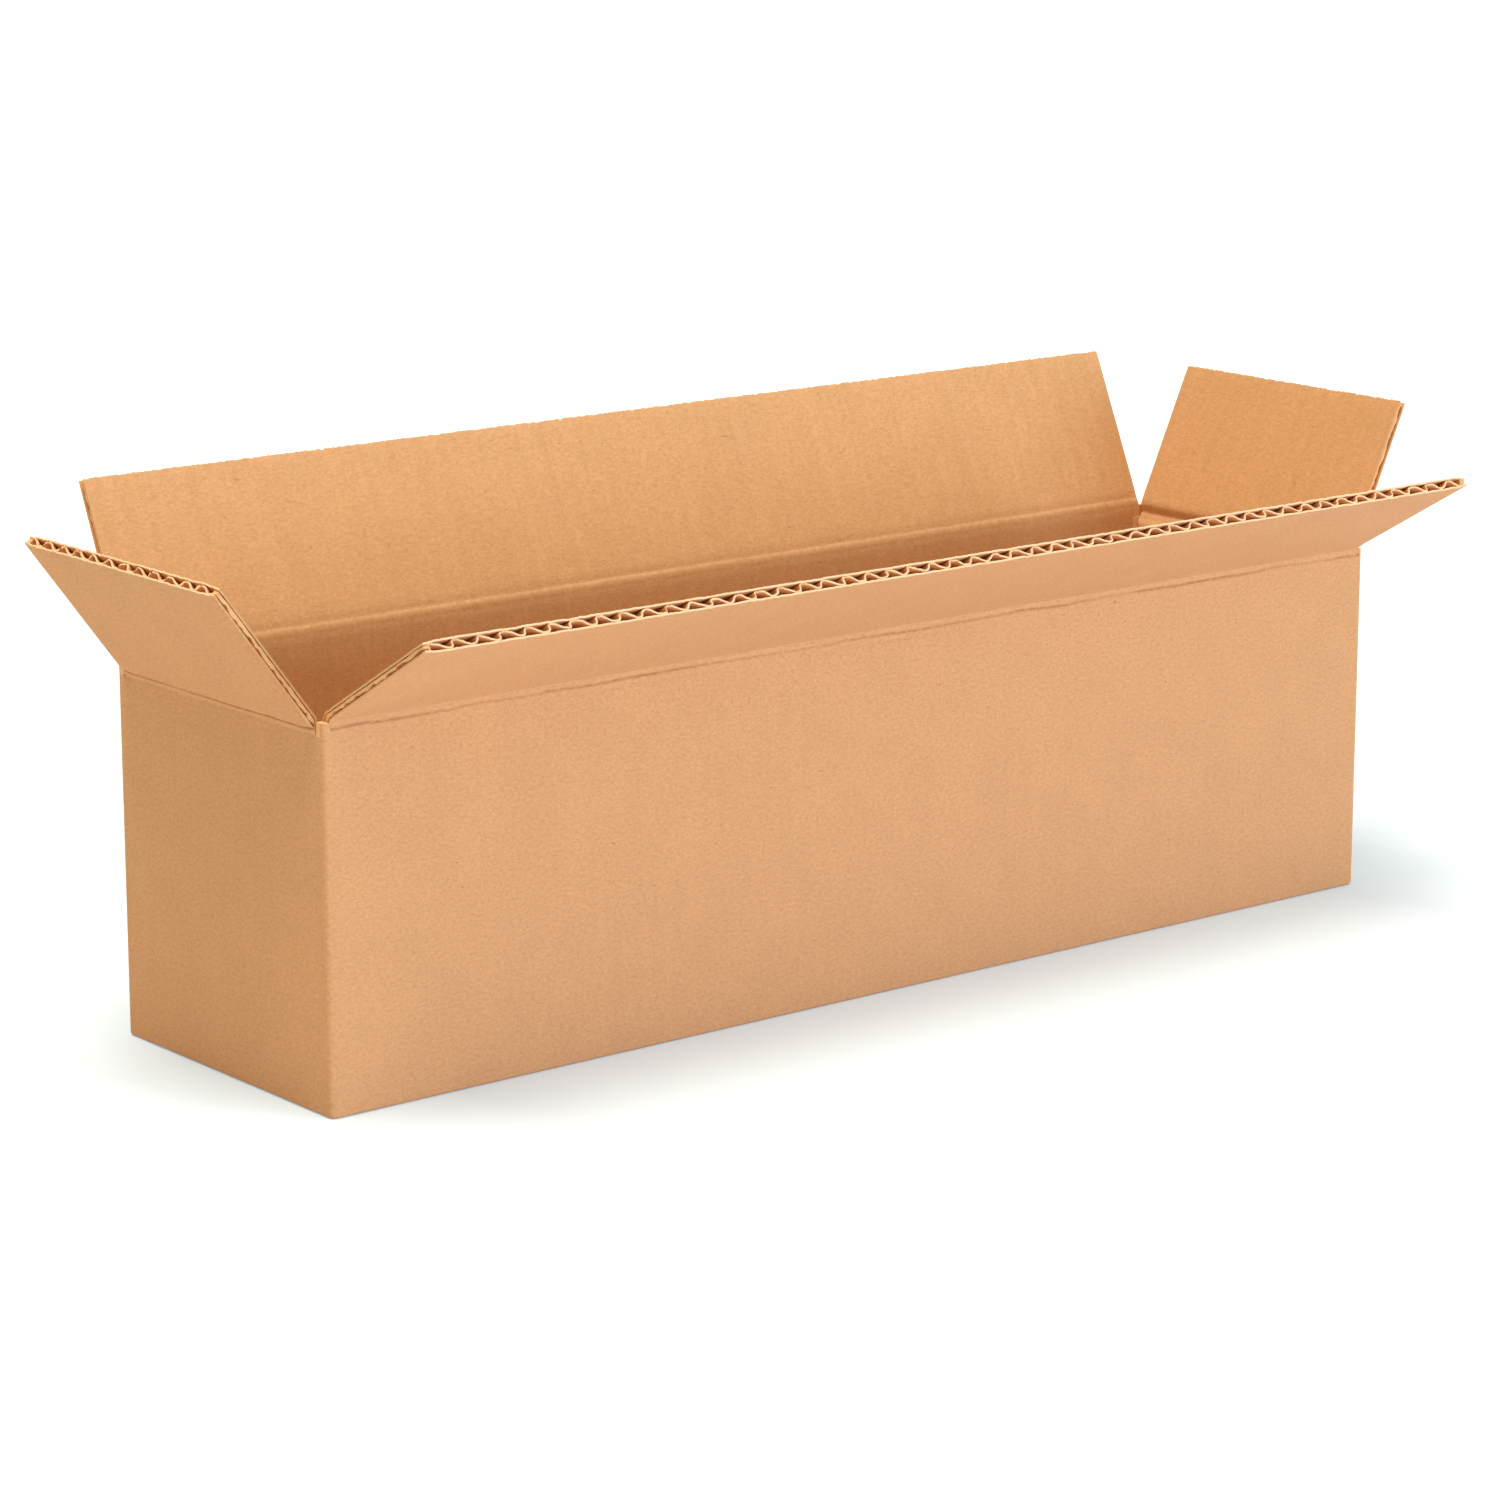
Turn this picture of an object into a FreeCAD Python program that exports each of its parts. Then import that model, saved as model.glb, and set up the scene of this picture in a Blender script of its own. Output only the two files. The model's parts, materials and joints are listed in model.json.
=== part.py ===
import FreeCAD, Part
import os

import Sketcher

# Slotted shipping carton of single-wall corrugated board, standing open.
# One folded sheet: four walls and a closed bottom in one piece, and four top
# flaps that swing on creases pressed along the upper edges of the walls.
# +Z is up, the long side lies along X, the front wall faces -Y, and the
# origin is the middle of the bottom, on the ground. Millimetres and degrees.

DIMENSIONS = {
    # space inside the walls
    "inner_length": 406.4,
    "inner_width": 101.6,
    # corrugated board: two flat liners with a fluted sheet between them
    "board_thickness": 4.0,
    "liner_thickness": 0.45,
    "medium_thickness": 0.4,
    "flute_pitch": 8.15,
    # the end walls are creased lower, so that their flaps close under the long ones
    "end_crease_height": 111.4,
    "closed_flap_gap": 0.2,
    # half the slit that a crushed crease leaves between wall and flap
    "crease_clearance": 0.15,
    # length of a flap that the crease leaves crushed flat, with no open flutes
    "crushed_band": 7.0,
    # half the seam where two closed flaps meet over the middle
    "half_seam": 0.2,
    # slots cut at the corners between neighbouring flaps
    "long_flap_inset": 2.1,
    "end_flap_clearance": 0.4,
    # edge strips: solid rim beside the last flute, and the groove of a slit edge
    "flute_rim": 2.4,
    "side_groove": 1.2,
    # folds
    "corner_fold_radius": 2.5,
    "bottom_fold_radius": 1.2,
    "base_slit": 0.4,
    # glued joint: a tab of the back wall inside the left end wall
    "tab_width": 32.0,
    "tab_taper": 9.0,
    "tab_top_gap": 1.5,
    "joint_seam_depth": 3.0,
    # how far each flap leans outwards from upright
    "front_flap_lean": 60.0,
    "back_flap_lean": 24.0,
    "left_flap_lean": 37.0,
    "right_flap_lean": 25.0,
}

# chords that make up the round crest of a flute, few because a flap has so many
CREST_CHORDS = 5

# how near the ground the middle of a bottom edge lies
NEAR_GROUND = 0.001


def size(alias):
    """The name of one driving dimension, as an expression."""
    return "dimensions." + alias


# Sizes that follow from the driving ones, as expressions of the sheet.
BOARD = size("board_thickness")
CLEARANCE = size("crease_clearance")
HALF_LENGTH = f"({size('inner_length')} / 2 + {BOARD})"
HALF_WIDTH = f"({size('inner_width')} / 2 + {BOARD})"
HALF_INNER_LENGTH = f"({size('inner_length')} / 2)"
HALF_INNER_WIDTH = f"({size('inner_width')} / 2)"
END_CREASE = size("end_crease_height")
LONG_CREASE = f"({END_CREASE} + {BOARD} + {size('closed_flap_gap')})"
END_WALL_TOP = f"({END_CREASE} - {CLEARANCE})"
LONG_WALL_TOP = f"({LONG_CREASE} - {CLEARANCE})"
FLAP_REACH = f"({HALF_WIDTH} - {size('half_seam')})"
LONG_FLAP_LENGTH = f"(2 * ({HALF_LENGTH} - {size('long_flap_inset')}))"
END_FLAP_LENGTH = f"(2 * ({HALF_INNER_WIDTH} - {size('end_flap_clearance')}))"
FLOOR_TOP = f"(2 * {BOARD})"

# The fluted sheet is a wave between the liners. Its flanks lean at the steepest
# slope of a sine wave of that height and pitch, and its crests follow an arc.
PITCH = size("flute_pitch")
MEDIUM = size("medium_thickness")
LINER = size("liner_thickness")
LINER_SPACE = f"({BOARD} - 2 * {LINER})"
CHANNEL_DEPTH = f"({LINER_SPACE} - {MEDIUM})"
FLANK_ANGLE = f"atan(pi * {CHANNEL_DEPTH} / {PITCH})"
CHANNEL_WIDTH = (
    f"({PITCH} / 2 + {LINER_SPACE} / tan({FLANK_ANGLE}) - {MEDIUM} / sin({FLANK_ANGLE}))"
)
CREST_RADIUS = (
    f"(({CHANNEL_WIDTH} / 2 * tan({FLANK_ANGLE}) - {CHANNEL_DEPTH}) / (1 / cos({FLANK_ANGLE}) - 1))"
)


def make_sheet(doc):
    """Put every driving dimension in a cell with an alias."""
    sheet = doc.addObject("Spreadsheet::Sheet", "dimensions")
    for row, (alias, value) in enumerate(DIMENSIONS.items(), start=1):
        sheet.set(f"A{row}", alias)
        sheet.set(f"B{row}", str(value))
        sheet.setAlias(f"B{row}", alias)
    doc.recompute()
    return sheet


def make_body(doc, name):
    """One sub-part of the carton, named as its file will be."""
    body = doc.addObject("PartDesign::Body", name)
    body.Label = name
    return body


def make_sketch(body, name, role, height="0"):
    """An empty sketch on one of the body's own planes, moved along its normal."""
    sketch = body.newObject("Sketcher::SketchObject", name)
    plane = next(f for f in body.Origin.OriginFeatures if f.Role == role)
    sketch.AttachmentSupport = [(plane, "")]
    sketch.MapMode = "FlatFace"
    sketch.setExpression("AttachmentOffset.Base.z", height)
    return sketch


def value_of(sketch, expression):
    """What an expression comes to now, to draw a sketch near its final shape."""
    result = sketch.evalExpression(expression)
    return float(getattr(result, "Value", result))


def bind(sketch, constraint, expression):
    """Add a dimension to a sketch and tie it to an expression."""
    index = sketch.addConstraint(constraint)
    sketch.setExpression(f"Constraints[{index}]", expression)


def place_point(sketch, curve, point, x, y):
    """Hold an end (1 or 2) or the centre (3) of a curve at x, y from the origin."""
    for axis, expression in (("DistanceX", x), ("DistanceY", y)):
        now = value_of(sketch, expression)
        bind(sketch, Sketcher.Constraint(axis, -1, 1, curve, point, now), expression)


def draw_outline(sketch, corners):
    """Add a closed outline of straight lines through corners given as expressions."""
    points = [FreeCAD.Vector(value_of(sketch, x), value_of(sketch, y), 0) for x, y in corners]
    first = sketch.GeometryCount
    count = len(corners)
    for i in range(count):
        sketch.addGeometry(Part.LineSegment(points[i], points[(i + 1) % count]), False)
    for i, (x, y) in enumerate(corners):
        follower = first + (i + 1) % count
        sketch.addConstraint(Sketcher.Constraint("Coincident", first + i, 2, follower, 1))
        place_point(sketch, first + i, 1, x, y)


def draw_rectangle(sketch, low_x, high_x, low_y, high_y):
    """Add a rectangle between four expressions."""
    draw_outline(sketch, [(low_x, low_y), (high_x, low_y), (high_x, high_y), (low_x, high_y)])


def pad(body, name, sketch, length, symmetric=False):
    """Raise a sketch into material."""
    feature = body.newObject("PartDesign::Pad", name)
    feature.Profile = sketch
    feature.SideType = "Symmetric" if symmetric else "One side"
    feature.setExpression("Length", length)
    return feature


def pocket(body, name, sketch, depth, symmetric=False, upward=False):
    """Cut a sketch out of the material, downwards unless told otherwise."""
    feature = body.newObject("PartDesign::Pocket", name)
    feature.Profile = sketch
    feature.SideType = "Symmetric" if symmetric else "One side"
    feature.Reversed = upward
    feature.setExpression("Length", depth)
    return feature


def round_edges(doc, body, name, base, radius, chosen):
    """Round the edges of a feature whose middle point passes the test."""
    doc.recompute()
    names = [
        f"Edge{i}"
        for i, edge in enumerate(base.Shape.Edges, start=1)
        if chosen(edge.CenterOfMass, edge.BoundBox)
    ]
    feature = body.newObject("PartDesign::Fillet", name)
    feature.Base = (base, names)
    feature.setExpression("Radius", radius)
    return feature


def make_walls(doc, body):
    """The outer block of the carton, with its folds rounded, hollowed from above."""
    outline = make_sketch(body, "outer_outline", "XY_Plane")
    draw_rectangle(outline, f"-{HALF_LENGTH}", HALF_LENGTH, f"-{HALF_WIDTH}", HALF_WIDTH)
    block = pad(body, "outer_block", outline, LONG_WALL_TOP)
    folds = round_edges(
        doc, body, "corner_folds", block, size("corner_fold_radius"),
        lambda middle, box: box.ZLength > box.XLength + box.YLength,
    )
    round_edges(
        doc, body, "bottom_folds", folds, size("bottom_fold_radius"),
        lambda middle, box: middle.z < NEAR_GROUND,
    )

    inside = make_sketch(body, "inside_outline", "XY_Plane", FLOOR_TOP)
    draw_rectangle(
        inside, f"-{HALF_INNER_LENGTH}", HALF_INNER_LENGTH, f"-{HALF_INNER_WIDTH}", HALF_INNER_WIDTH
    )
    pocket(body, "inside_space", inside, LONG_WALL_TOP, upward=True)


def make_bottom(body):
    """Closed bottom: end flaps lie inside, on the long flaps that meet at a seam."""
    end_flap_edge = f"({HALF_LENGTH} - {FLAP_REACH})"
    middle = make_sketch(body, "single_floor_outline", "XY_Plane", BOARD)
    draw_rectangle(
        middle, f"-{end_flap_edge}", end_flap_edge, f"-{HALF_INNER_WIDTH}", HALF_INNER_WIDTH
    )
    pocket(body, "single_floor", middle, BOARD, upward=True)

    half_slit = f"({size('base_slit')} / 2)"
    slit_end = f"({HALF_INNER_LENGTH} - {size('base_slit')})"
    slits = make_sketch(body, "bottom_slits_outline", "XY_Plane")
    draw_outline(slits, [
        (f"-{HALF_INNER_LENGTH}", f"-{HALF_INNER_WIDTH}"),
        (f"-{slit_end}", f"-{HALF_INNER_WIDTH}"),
        (f"-{slit_end}", f"-{half_slit}"),
        (slit_end, f"-{half_slit}"),
        (slit_end, f"-{HALF_INNER_WIDTH}"),
        (HALF_INNER_LENGTH, f"-{HALF_INNER_WIDTH}"),
        (HALF_INNER_LENGTH, HALF_INNER_WIDTH),
        (slit_end, HALF_INNER_WIDTH),
        (slit_end, half_slit),
        (f"-{slit_end}", half_slit),
        (f"-{slit_end}", HALF_INNER_WIDTH),
        (f"-{HALF_INNER_LENGTH}", HALF_INNER_WIDTH),
    ])
    pocket(body, "bottom_slits", slits, BOARD, upward=True)


def make_creases(body):
    """Wall tops cut at 45 degrees from the outer liner, where the flaps bend."""
    above = f"({LONG_CREASE} + {BOARD})"
    end_cut = make_sketch(body, "end_crease_outline", "XZ_Plane")
    beyond = f"({HALF_LENGTH} + {BOARD})"
    for side in ("-", ""):
        draw_outline(end_cut, [
            (f"{side}{beyond}", END_WALL_TOP),
            (f"{side}{HALF_LENGTH}", END_WALL_TOP),
            (f"{side}{HALF_INNER_LENGTH}", f"{END_WALL_TOP} - {BOARD}"),
            (f"{side}{HALF_INNER_LENGTH}", above),
            (f"{side}{beyond}", above),
        ])
    pocket(body, "end_creases", end_cut, size("inner_width"), symmetric=True)

    long_cut = make_sketch(body, "long_crease_outline", "YZ_Plane")
    for side in ("-", ""):
        draw_outline(long_cut, [
            (f"{side}{HALF_WIDTH}", LONG_WALL_TOP),
            (f"{side}{HALF_INNER_WIDTH}", f"{LONG_WALL_TOP} - {BOARD}"),
            (f"{side}{HALF_INNER_WIDTH}", above),
            (f"{side}{HALF_WIDTH}", above),
        ])
    pocket(body, "long_creases", long_cut, f"2 * {beyond}", symmetric=True)

    slots = make_sketch(body, "corner_slots_outline", "XY_Plane", END_WALL_TOP)
    inset = f"({HALF_LENGTH} - {size('long_flap_inset')})"
    past = f"({HALF_WIDTH} + {BOARD})"
    for x_side in ("-", ""):
        for y_side in ("-", ""):
            draw_rectangle(
                slots, x_side + inset, x_side + beyond, y_side + HALF_INNER_WIDTH, y_side + past
            )
    pocket(body, "corner_slots", slots, above, upward=True)


def make_glued_joint(body):
    """Tab of the back wall glued inside the left end wall, and the seam behind it."""
    tab_top = f"({END_WALL_TOP} - {BOARD} - {size('tab_top_gap')})"
    tab_edge = f"({HALF_INNER_WIDTH} - {size('tab_width')})"
    tab = make_sketch(body, "joint_tab_outline", "YZ_Plane", f"-{HALF_INNER_LENGTH}")
    draw_outline(tab, [
        (HALF_INNER_WIDTH, FLOOR_TOP),
        (HALF_INNER_WIDTH, tab_top),
        (tab_edge, f"{tab_top} - {size('tab_taper')}"),
        (tab_edge, f"{FLOOR_TOP} + {size('tab_taper')}"),
    ])
    pad(body, "joint_tab", tab, BOARD)

    seam = make_sketch(body, "joint_seam_outline", "XY_Plane")
    seam_start = f"({HALF_WIDTH} - {size('joint_seam_depth')})"
    draw_rectangle(
        seam, f"-{HALF_INNER_LENGTH} - {size('base_slit')}", f"-{HALF_INNER_LENGTH}",
        seam_start, f"({HALF_WIDTH} + {BOARD})",
    )
    pocket(body, "joint_seam", seam, f"2 * {LONG_CREASE}", upward=True)


def make_carton_body(doc):
    body = make_body(doc, "carton_body")
    make_walls(doc, body)
    make_bottom(body)
    make_creases(body)
    make_glued_joint(body)
    return body


def draw_channel(sketch, middle, liner_face, way):
    """Section of one open channel between a liner and the fluted sheet.

    Its flat side lies on the liner, at liner_face. Two flanks lean in from
    there, "+" or "-" across the board, to the round inside of a crest.
    """
    corners = [
        (f"({middle} - {CHANNEL_WIDTH} / 2)", liner_face),
        (f"({middle} + {CHANNEL_WIDTH} / 2)", liner_face),
    ]
    for step in range(CREST_CHORDS + 1):
        turn = f"({FLANK_ANGLE} * {1 - 2 * step / CREST_CHORDS})"
        x = f"({middle} + {CREST_RADIUS} * sin{turn})"
        y = f"({liner_face} {way} ({CHANNEL_DEPTH} - {CREST_RADIUS} * (1 - cos{turn})))"
        corners.append((x, y))
    draw_outline(sketch, corners)


def cut_flutes(body, length):
    """Open channels from the free edge down to the crushed band, pair by pair."""
    depth = f"({FLAP_REACH} - {size('crushed_band')})"
    inner_liner = f"({BOARD} - {LINER})"
    pair = f"({CHANNEL_WIDTH} + {PITCH} / 2)"
    count = f"(floor(({length} - 2 * {size('flute_rim')} - {pair}) / {PITCH}) + 1)"
    first = f"(-(({count} - 1) * {PITCH} + {PITCH} / 2) / 2)"
    section = make_sketch(body, "flute_outline", "XY_Plane", FLAP_REACH)
    draw_channel(section, first, inner_liner, "-")
    draw_channel(section, f"({first} + {PITCH} / 2)", LINER, "+")
    channels = pocket(body, "flute_pair", section, depth)

    flutes = body.newObject("PartDesign::LinearPattern", "flutes")
    flutes.Originals = [channels]
    x_axis = next(f for f in body.Origin.OriginFeatures if f.Role == "X_Axis")
    flutes.Direction = (x_axis, [""])
    flutes.Mode = "Spacing"
    flutes.setExpression("Offset", PITCH)
    flutes.setExpression("Occurrences", count)
    body.Tip = flutes

    groove = make_sketch(body, "side_groove_outline", "XY_Plane", FLAP_REACH)
    outside = f"({length} / 2 + {BOARD})"
    inside = f"({length} / 2 - {size('side_groove')})"
    draw_rectangle(groove, inside, outside, LINER, inner_liner)
    draw_rectangle(groove, f"-{outside}", f"-{inside}", LINER, inner_liner)
    pocket(body, "side_grooves", groove, depth)


def make_flap(doc, name, length, hinge, turn, lean):
    """One top flap, drawn upright on its crease and then turned and leant outwards.

    Its outer liner lies in the plane of the crease, the board is behind it,
    and its lower edge is cut at 45 degrees like the top of the wall.
    """
    body = make_body(doc, name)
    slab = make_sketch(body, "board_outline", "YZ_Plane")
    draw_outline(slab, [
        ("0", CLEARANCE),
        ("0", FLAP_REACH),
        (BOARD, FLAP_REACH),
        (BOARD, f"{CLEARANCE} + {BOARD}"),
    ])
    pad(body, "board", slab, length, symmetric=True)
    cut_flutes(body, length)
    place = f"vector({'; '.join(hinge)})"
    body.setExpression("Placement", f"placement({place}; rotation({turn}; 0; {lean}))")
    return body


def make_flaps(doc):
    """Four flaps: long ones on the front and back walls, short ones on the ends."""
    front = ("0", f"-{HALF_WIDTH}", LONG_CREASE)
    back = ("0", HALF_WIDTH, LONG_CREASE)
    left = (f"-{HALF_LENGTH}", "0", END_CREASE)
    right = (HALF_LENGTH, "0", END_CREASE)
    return [
        make_flap(doc, "front_flap", LONG_FLAP_LENGTH, front, 0, size("front_flap_lean")),
        make_flap(doc, "back_flap", LONG_FLAP_LENGTH, back, 180, size("back_flap_lean")),
        make_flap(doc, "left_flap", END_FLAP_LENGTH, left, -90, size("left_flap_lean")),
        make_flap(doc, "right_flap", END_FLAP_LENGTH, right, 90, size("right_flap_lean")),
    ]


def check(doc, bodies):
    """Stop if a feature failed, a cut took nothing away or a shape is unsound."""
    for item in doc.Objects:
        if "Invalid" in item.State or "Error" in item.State:
            raise RuntimeError(f"{item.Name} failed: {item.State}")
        if item.TypeId == "PartDesign::Pocket":
            if item.Shape.Volume >= item.BaseFeature.Shape.Volume:
                raise RuntimeError(f"{item.Name} cut nothing")
    for body in bodies:
        if body.Shape.isNull() or not body.Shape.isValid() or len(body.Shape.Solids) != 1:
            raise RuntimeError(f"{body.Label} is not one sound solid")


def main():
    doc = FreeCAD.newDocument("carton")
    make_sheet(doc)
    bodies = [make_carton_body(doc)] + make_flaps(doc)
    doc.recompute()
    check(doc, bodies)
    os.makedirs("parts", exist_ok=True)
    for body in bodies:
        body.Shape.exportStep(f"parts/{body.Label}.step")
        print(body.Label, round(body.Shape.Volume / 1000, 2), "cm3")


main()
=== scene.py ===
import json
import math

import bpy
import numpy as np
from mathutils import Matrix, Vector


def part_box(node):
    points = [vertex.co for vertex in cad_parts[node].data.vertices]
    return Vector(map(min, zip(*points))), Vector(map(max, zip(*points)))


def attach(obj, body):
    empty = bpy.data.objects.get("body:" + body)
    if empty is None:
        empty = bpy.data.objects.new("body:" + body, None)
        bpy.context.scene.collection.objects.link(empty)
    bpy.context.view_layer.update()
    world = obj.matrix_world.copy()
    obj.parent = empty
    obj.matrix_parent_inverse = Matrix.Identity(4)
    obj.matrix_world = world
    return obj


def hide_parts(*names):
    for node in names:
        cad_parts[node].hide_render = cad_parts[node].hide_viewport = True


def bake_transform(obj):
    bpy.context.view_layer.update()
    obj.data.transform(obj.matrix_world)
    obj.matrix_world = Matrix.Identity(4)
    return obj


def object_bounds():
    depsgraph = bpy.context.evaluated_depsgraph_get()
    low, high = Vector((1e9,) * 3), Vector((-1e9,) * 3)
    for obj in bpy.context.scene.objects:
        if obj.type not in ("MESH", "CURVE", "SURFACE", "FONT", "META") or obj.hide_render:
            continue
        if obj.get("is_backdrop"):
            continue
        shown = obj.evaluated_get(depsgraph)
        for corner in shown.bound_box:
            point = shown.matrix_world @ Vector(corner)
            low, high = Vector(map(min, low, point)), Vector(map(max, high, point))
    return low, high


bl_info = {
    "name": "Open kraft carton",
    "version": (1, 0, 0),
    "blender": (4, 5, 0),
    "location": "View3D > Sidebar > Carton",
    "description": "Builds the paper of an open corrugated carton round its solid parts",
    "category": "Object",
}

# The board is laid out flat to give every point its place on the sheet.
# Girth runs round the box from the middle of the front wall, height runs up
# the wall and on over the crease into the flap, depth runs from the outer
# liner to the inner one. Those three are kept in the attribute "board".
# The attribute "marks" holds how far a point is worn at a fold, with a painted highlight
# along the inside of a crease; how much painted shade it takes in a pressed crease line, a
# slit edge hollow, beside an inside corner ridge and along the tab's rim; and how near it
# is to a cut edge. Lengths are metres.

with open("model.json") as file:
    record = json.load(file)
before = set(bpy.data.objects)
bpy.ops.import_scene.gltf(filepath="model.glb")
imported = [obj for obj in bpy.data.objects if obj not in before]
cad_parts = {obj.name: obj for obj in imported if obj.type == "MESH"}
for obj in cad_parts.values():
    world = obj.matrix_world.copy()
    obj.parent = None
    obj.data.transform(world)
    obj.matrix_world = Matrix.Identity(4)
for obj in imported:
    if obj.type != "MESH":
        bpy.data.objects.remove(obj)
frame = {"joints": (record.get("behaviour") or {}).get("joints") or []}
CAD_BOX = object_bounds()

OUTER, INNER, TORN, MEDIUM = range(4)
UPRIGHT = 90.0
SHARP_PAPER, SHARP_FLUTE = math.radians(35), math.radians(50)

# Steps of the grids that the sheets are made of, finer where an edge is torn.
WALL_STEP, CORNER_STEP, BEAD_STEP, FLOOR_STEP = 0.006, 0.003, 0.004, 0.008
TAB_STEP, LINER_STEP, SLIT_STEP = 0.0012, 0.0006, 0.0005
CREASE_STEP, SLOT_STEP = 0.0014, 0.0004


def smooth_step(low, high, value):
    """From 0 at low to 1 at high, level at both ends."""
    share = np.clip((value - low) / (high - low), 0, 1)
    return share * share * (3 - 2 * share)


class Panel:
    """One upright wall and the flap creased to it, as the frame places them."""

    def __init__(self, joint):
        self.flap = joint["child"]
        self.hinge = Vector(joint["pos_m"])
        self.along = Vector(joint["axis"])
        self.up = Vector((0, 0, 1))
        self.inward = self.up.cross(self.along)
        self.lean = math.radians(-joint["range_deg"][0] - UPRIGHT)
        low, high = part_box(self.flap)
        self.top = high.z
        self.length = abs((high - low).dot(self.along))
        self.girth = 0.0

    def reach(self, thickness):
        """Length of the flap from its crease to its free edge."""
        rise = self.top - self.hinge.z - thickness * math.sin(self.lean)
        return rise / math.cos(self.lean)

    def place(self, across, depth, rise, bend=0.0):
        """Points of the board at a distance along the crease, into the board and up it.

        The board turns outwards into the flap within the bend, each side of the crease.
        """
        across, depth, rise = np.broadcast_arrays(across, depth, rise)
        angle = self.lean * smooth_step(-bend, bend, rise) if bend else 0.0 * rise
        along, inward, up = (np.array(v) for v in (self.along, self.inward, self.up))
        sine, cosine = np.sin(angle)[..., None], np.cos(angle)[..., None]
        return (
            np.array(self.hinge)
            + across[..., None] * along
            + depth[..., None] * (inward * cosine + up * sine)
            + rise[..., None] * (up * cosine - inward * sine)
        )

    def flap_matrix(self):
        """Where the flap's own axes lie: along the crease, into the board, up the board."""
        sine, cosine = math.sin(self.lean), math.cos(self.lean)
        inward = self.inward * cosine + self.up * sine
        up = self.up * cosine - self.inward * sine
        return axes(self.hinge, self.along, inward, up)


def axes(origin, along, inward, up):
    """A placement whose axes are the three given directions."""
    matrix = Matrix.Identity(4)
    for column, direction in enumerate((along, inward, up)):
        matrix.col[column][:3] = direction
    matrix.translation = origin
    return matrix


PANELS = {joint["child"]: Panel(joint) for joint in frame["joints"]}
HALF_LENGTH = abs(PANELS["left_flap"].hinge.x)
HALF_WIDTH = abs(PANELS["front_flap"].hinge.y)
LONG_PANELS = (PANELS["front_flap"], PANELS["back_flap"])
END_PANELS = (PANELS["left_flap"], PANELS["right_flap"])
PANELS["right_flap"].girth = HALF_LENGTH + HALF_WIDTH
PANELS["back_flap"].girth = 2 * (HALF_LENGTH + HALF_WIDTH)
PANELS["left_flap"].girth = -(HALF_LENGTH + HALF_WIDTH)


def length_prop(name, description, default):
    """A length of the part, as a property with a metric unit."""
    return bpy.props.FloatProperty(
        name=name, description=description, default=default, min=0, precision=5, unit="LENGTH"
    )


def number_prop(name, description, default, low=0.0, high=10.0):
    """A plain number as a property."""
    return bpy.props.FloatProperty(
        name=name, description=description, default=default, min=low, max=high
    )


def colour_prop(name, description, default):
    """A linear colour as a property."""
    return bpy.props.FloatVectorProperty(
        name=name, description=description, default=default, size=3, min=0, max=1, subtype="COLOR"
    )


class CartonBoardSettings(bpy.types.PropertyGroup):
    """Sizes of the corrugated board and of its cut edges."""

    thickness: length_prop("Board", "Thickness of the corrugated board", 0.004)
    liner: length_prop("Liner", "Thickness of one flat liner", 0.00056)
    medium: length_prop("Medium", "Thickness of the fluted sheet", 0.00055)
    pitch: length_prop("Flute pitch", "Distance from one flute to the next", 0.00815)
    segments: bpy.props.IntProperty(
        name="Segments", description="Straight pieces in one flute", default=16, min=6, max=32
    )
    unevenness: number_prop("Unevenness", "How unequal the flutes are", 0.5, high=1.0)
    skew: number_prop("Skew", "How far the flutes lean over, of their height", 0.8, high=2.0)
    fray: length_prop("Fray", "Depth of the torn nicks in a free edge", 0.0008)
    pinch: length_prop("Pinch", "How far a slit edge is pressed flat, each side", 0.0005)
    rim: length_prop("Rim", "Width of the crushed paper along a slit edge", 0.0022)
    seed: bpy.props.IntProperty(
        name="Seed", description="Fixed start of the random nicks", default=11, min=1
    )


class CartonCreaseSettings(bpy.types.PropertyGroup):
    """How the board bends where a flap joins its wall."""

    band: length_prop("Band", "Board that the crease flattens, each side of it", 0.007)
    bend: length_prop("Bend", "Distance over which the board turns, each side", 0.0007)
    groove: length_prop("Groove", "Depth of the line pressed into the outer liner", 0.0005)
    groove_width: length_prop("Groove width", "Half the width of that line", 0.0004)
    wander: length_prop("Wander", "How far the pressed line strays", 0.0003)
    crush: length_prop("Long crush", "How far a long crease is thinned from inside", 0.0003)
    end_crush: length_prop("End crush", "How far an end crease is thinned from inside", 0.00225)
    wrinkle: length_prop("Wrinkle", "Height of the wrinkles beside the crease", 0.00012)
    shift: length_prop("Line shift", "Pressed lines of long and end walls come nearer", 0.0018)


class CartonWallSettings(bpy.types.PropertyGroup):
    """Sizes of the walls, the closed bottom and the glued tab."""

    fold_radius: length_prop("Bottom fold", "Radius of the fold at the ground", 0.0012)
    bead: length_prop("Fold bead", "Width of the paper bead in an inside corner", 0.0014)
    crease_gap: length_prop("Crease gap", "Slot bottom below the end crease", 0.00015)
    stub_gap: length_prop("Stub gap", "Top of the long wall's corner below its crease", 0.0003)
    slit: length_prop("Slit", "Gap between the bottom flaps", 0.0004)
    tab_width: length_prop("Tab width", "Width of the glued tab", 0.032)
    tab_taper: length_prop("Tab taper", "Height lost over the tab's width", 0.009)
    tab_drop: length_prop("Tab drop", "Top of the tab below the end crease", 0.0056)
    tab_edge: length_prop("Tab edge", "Thickness of the tab's crushed rim", 0.0026)


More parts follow.
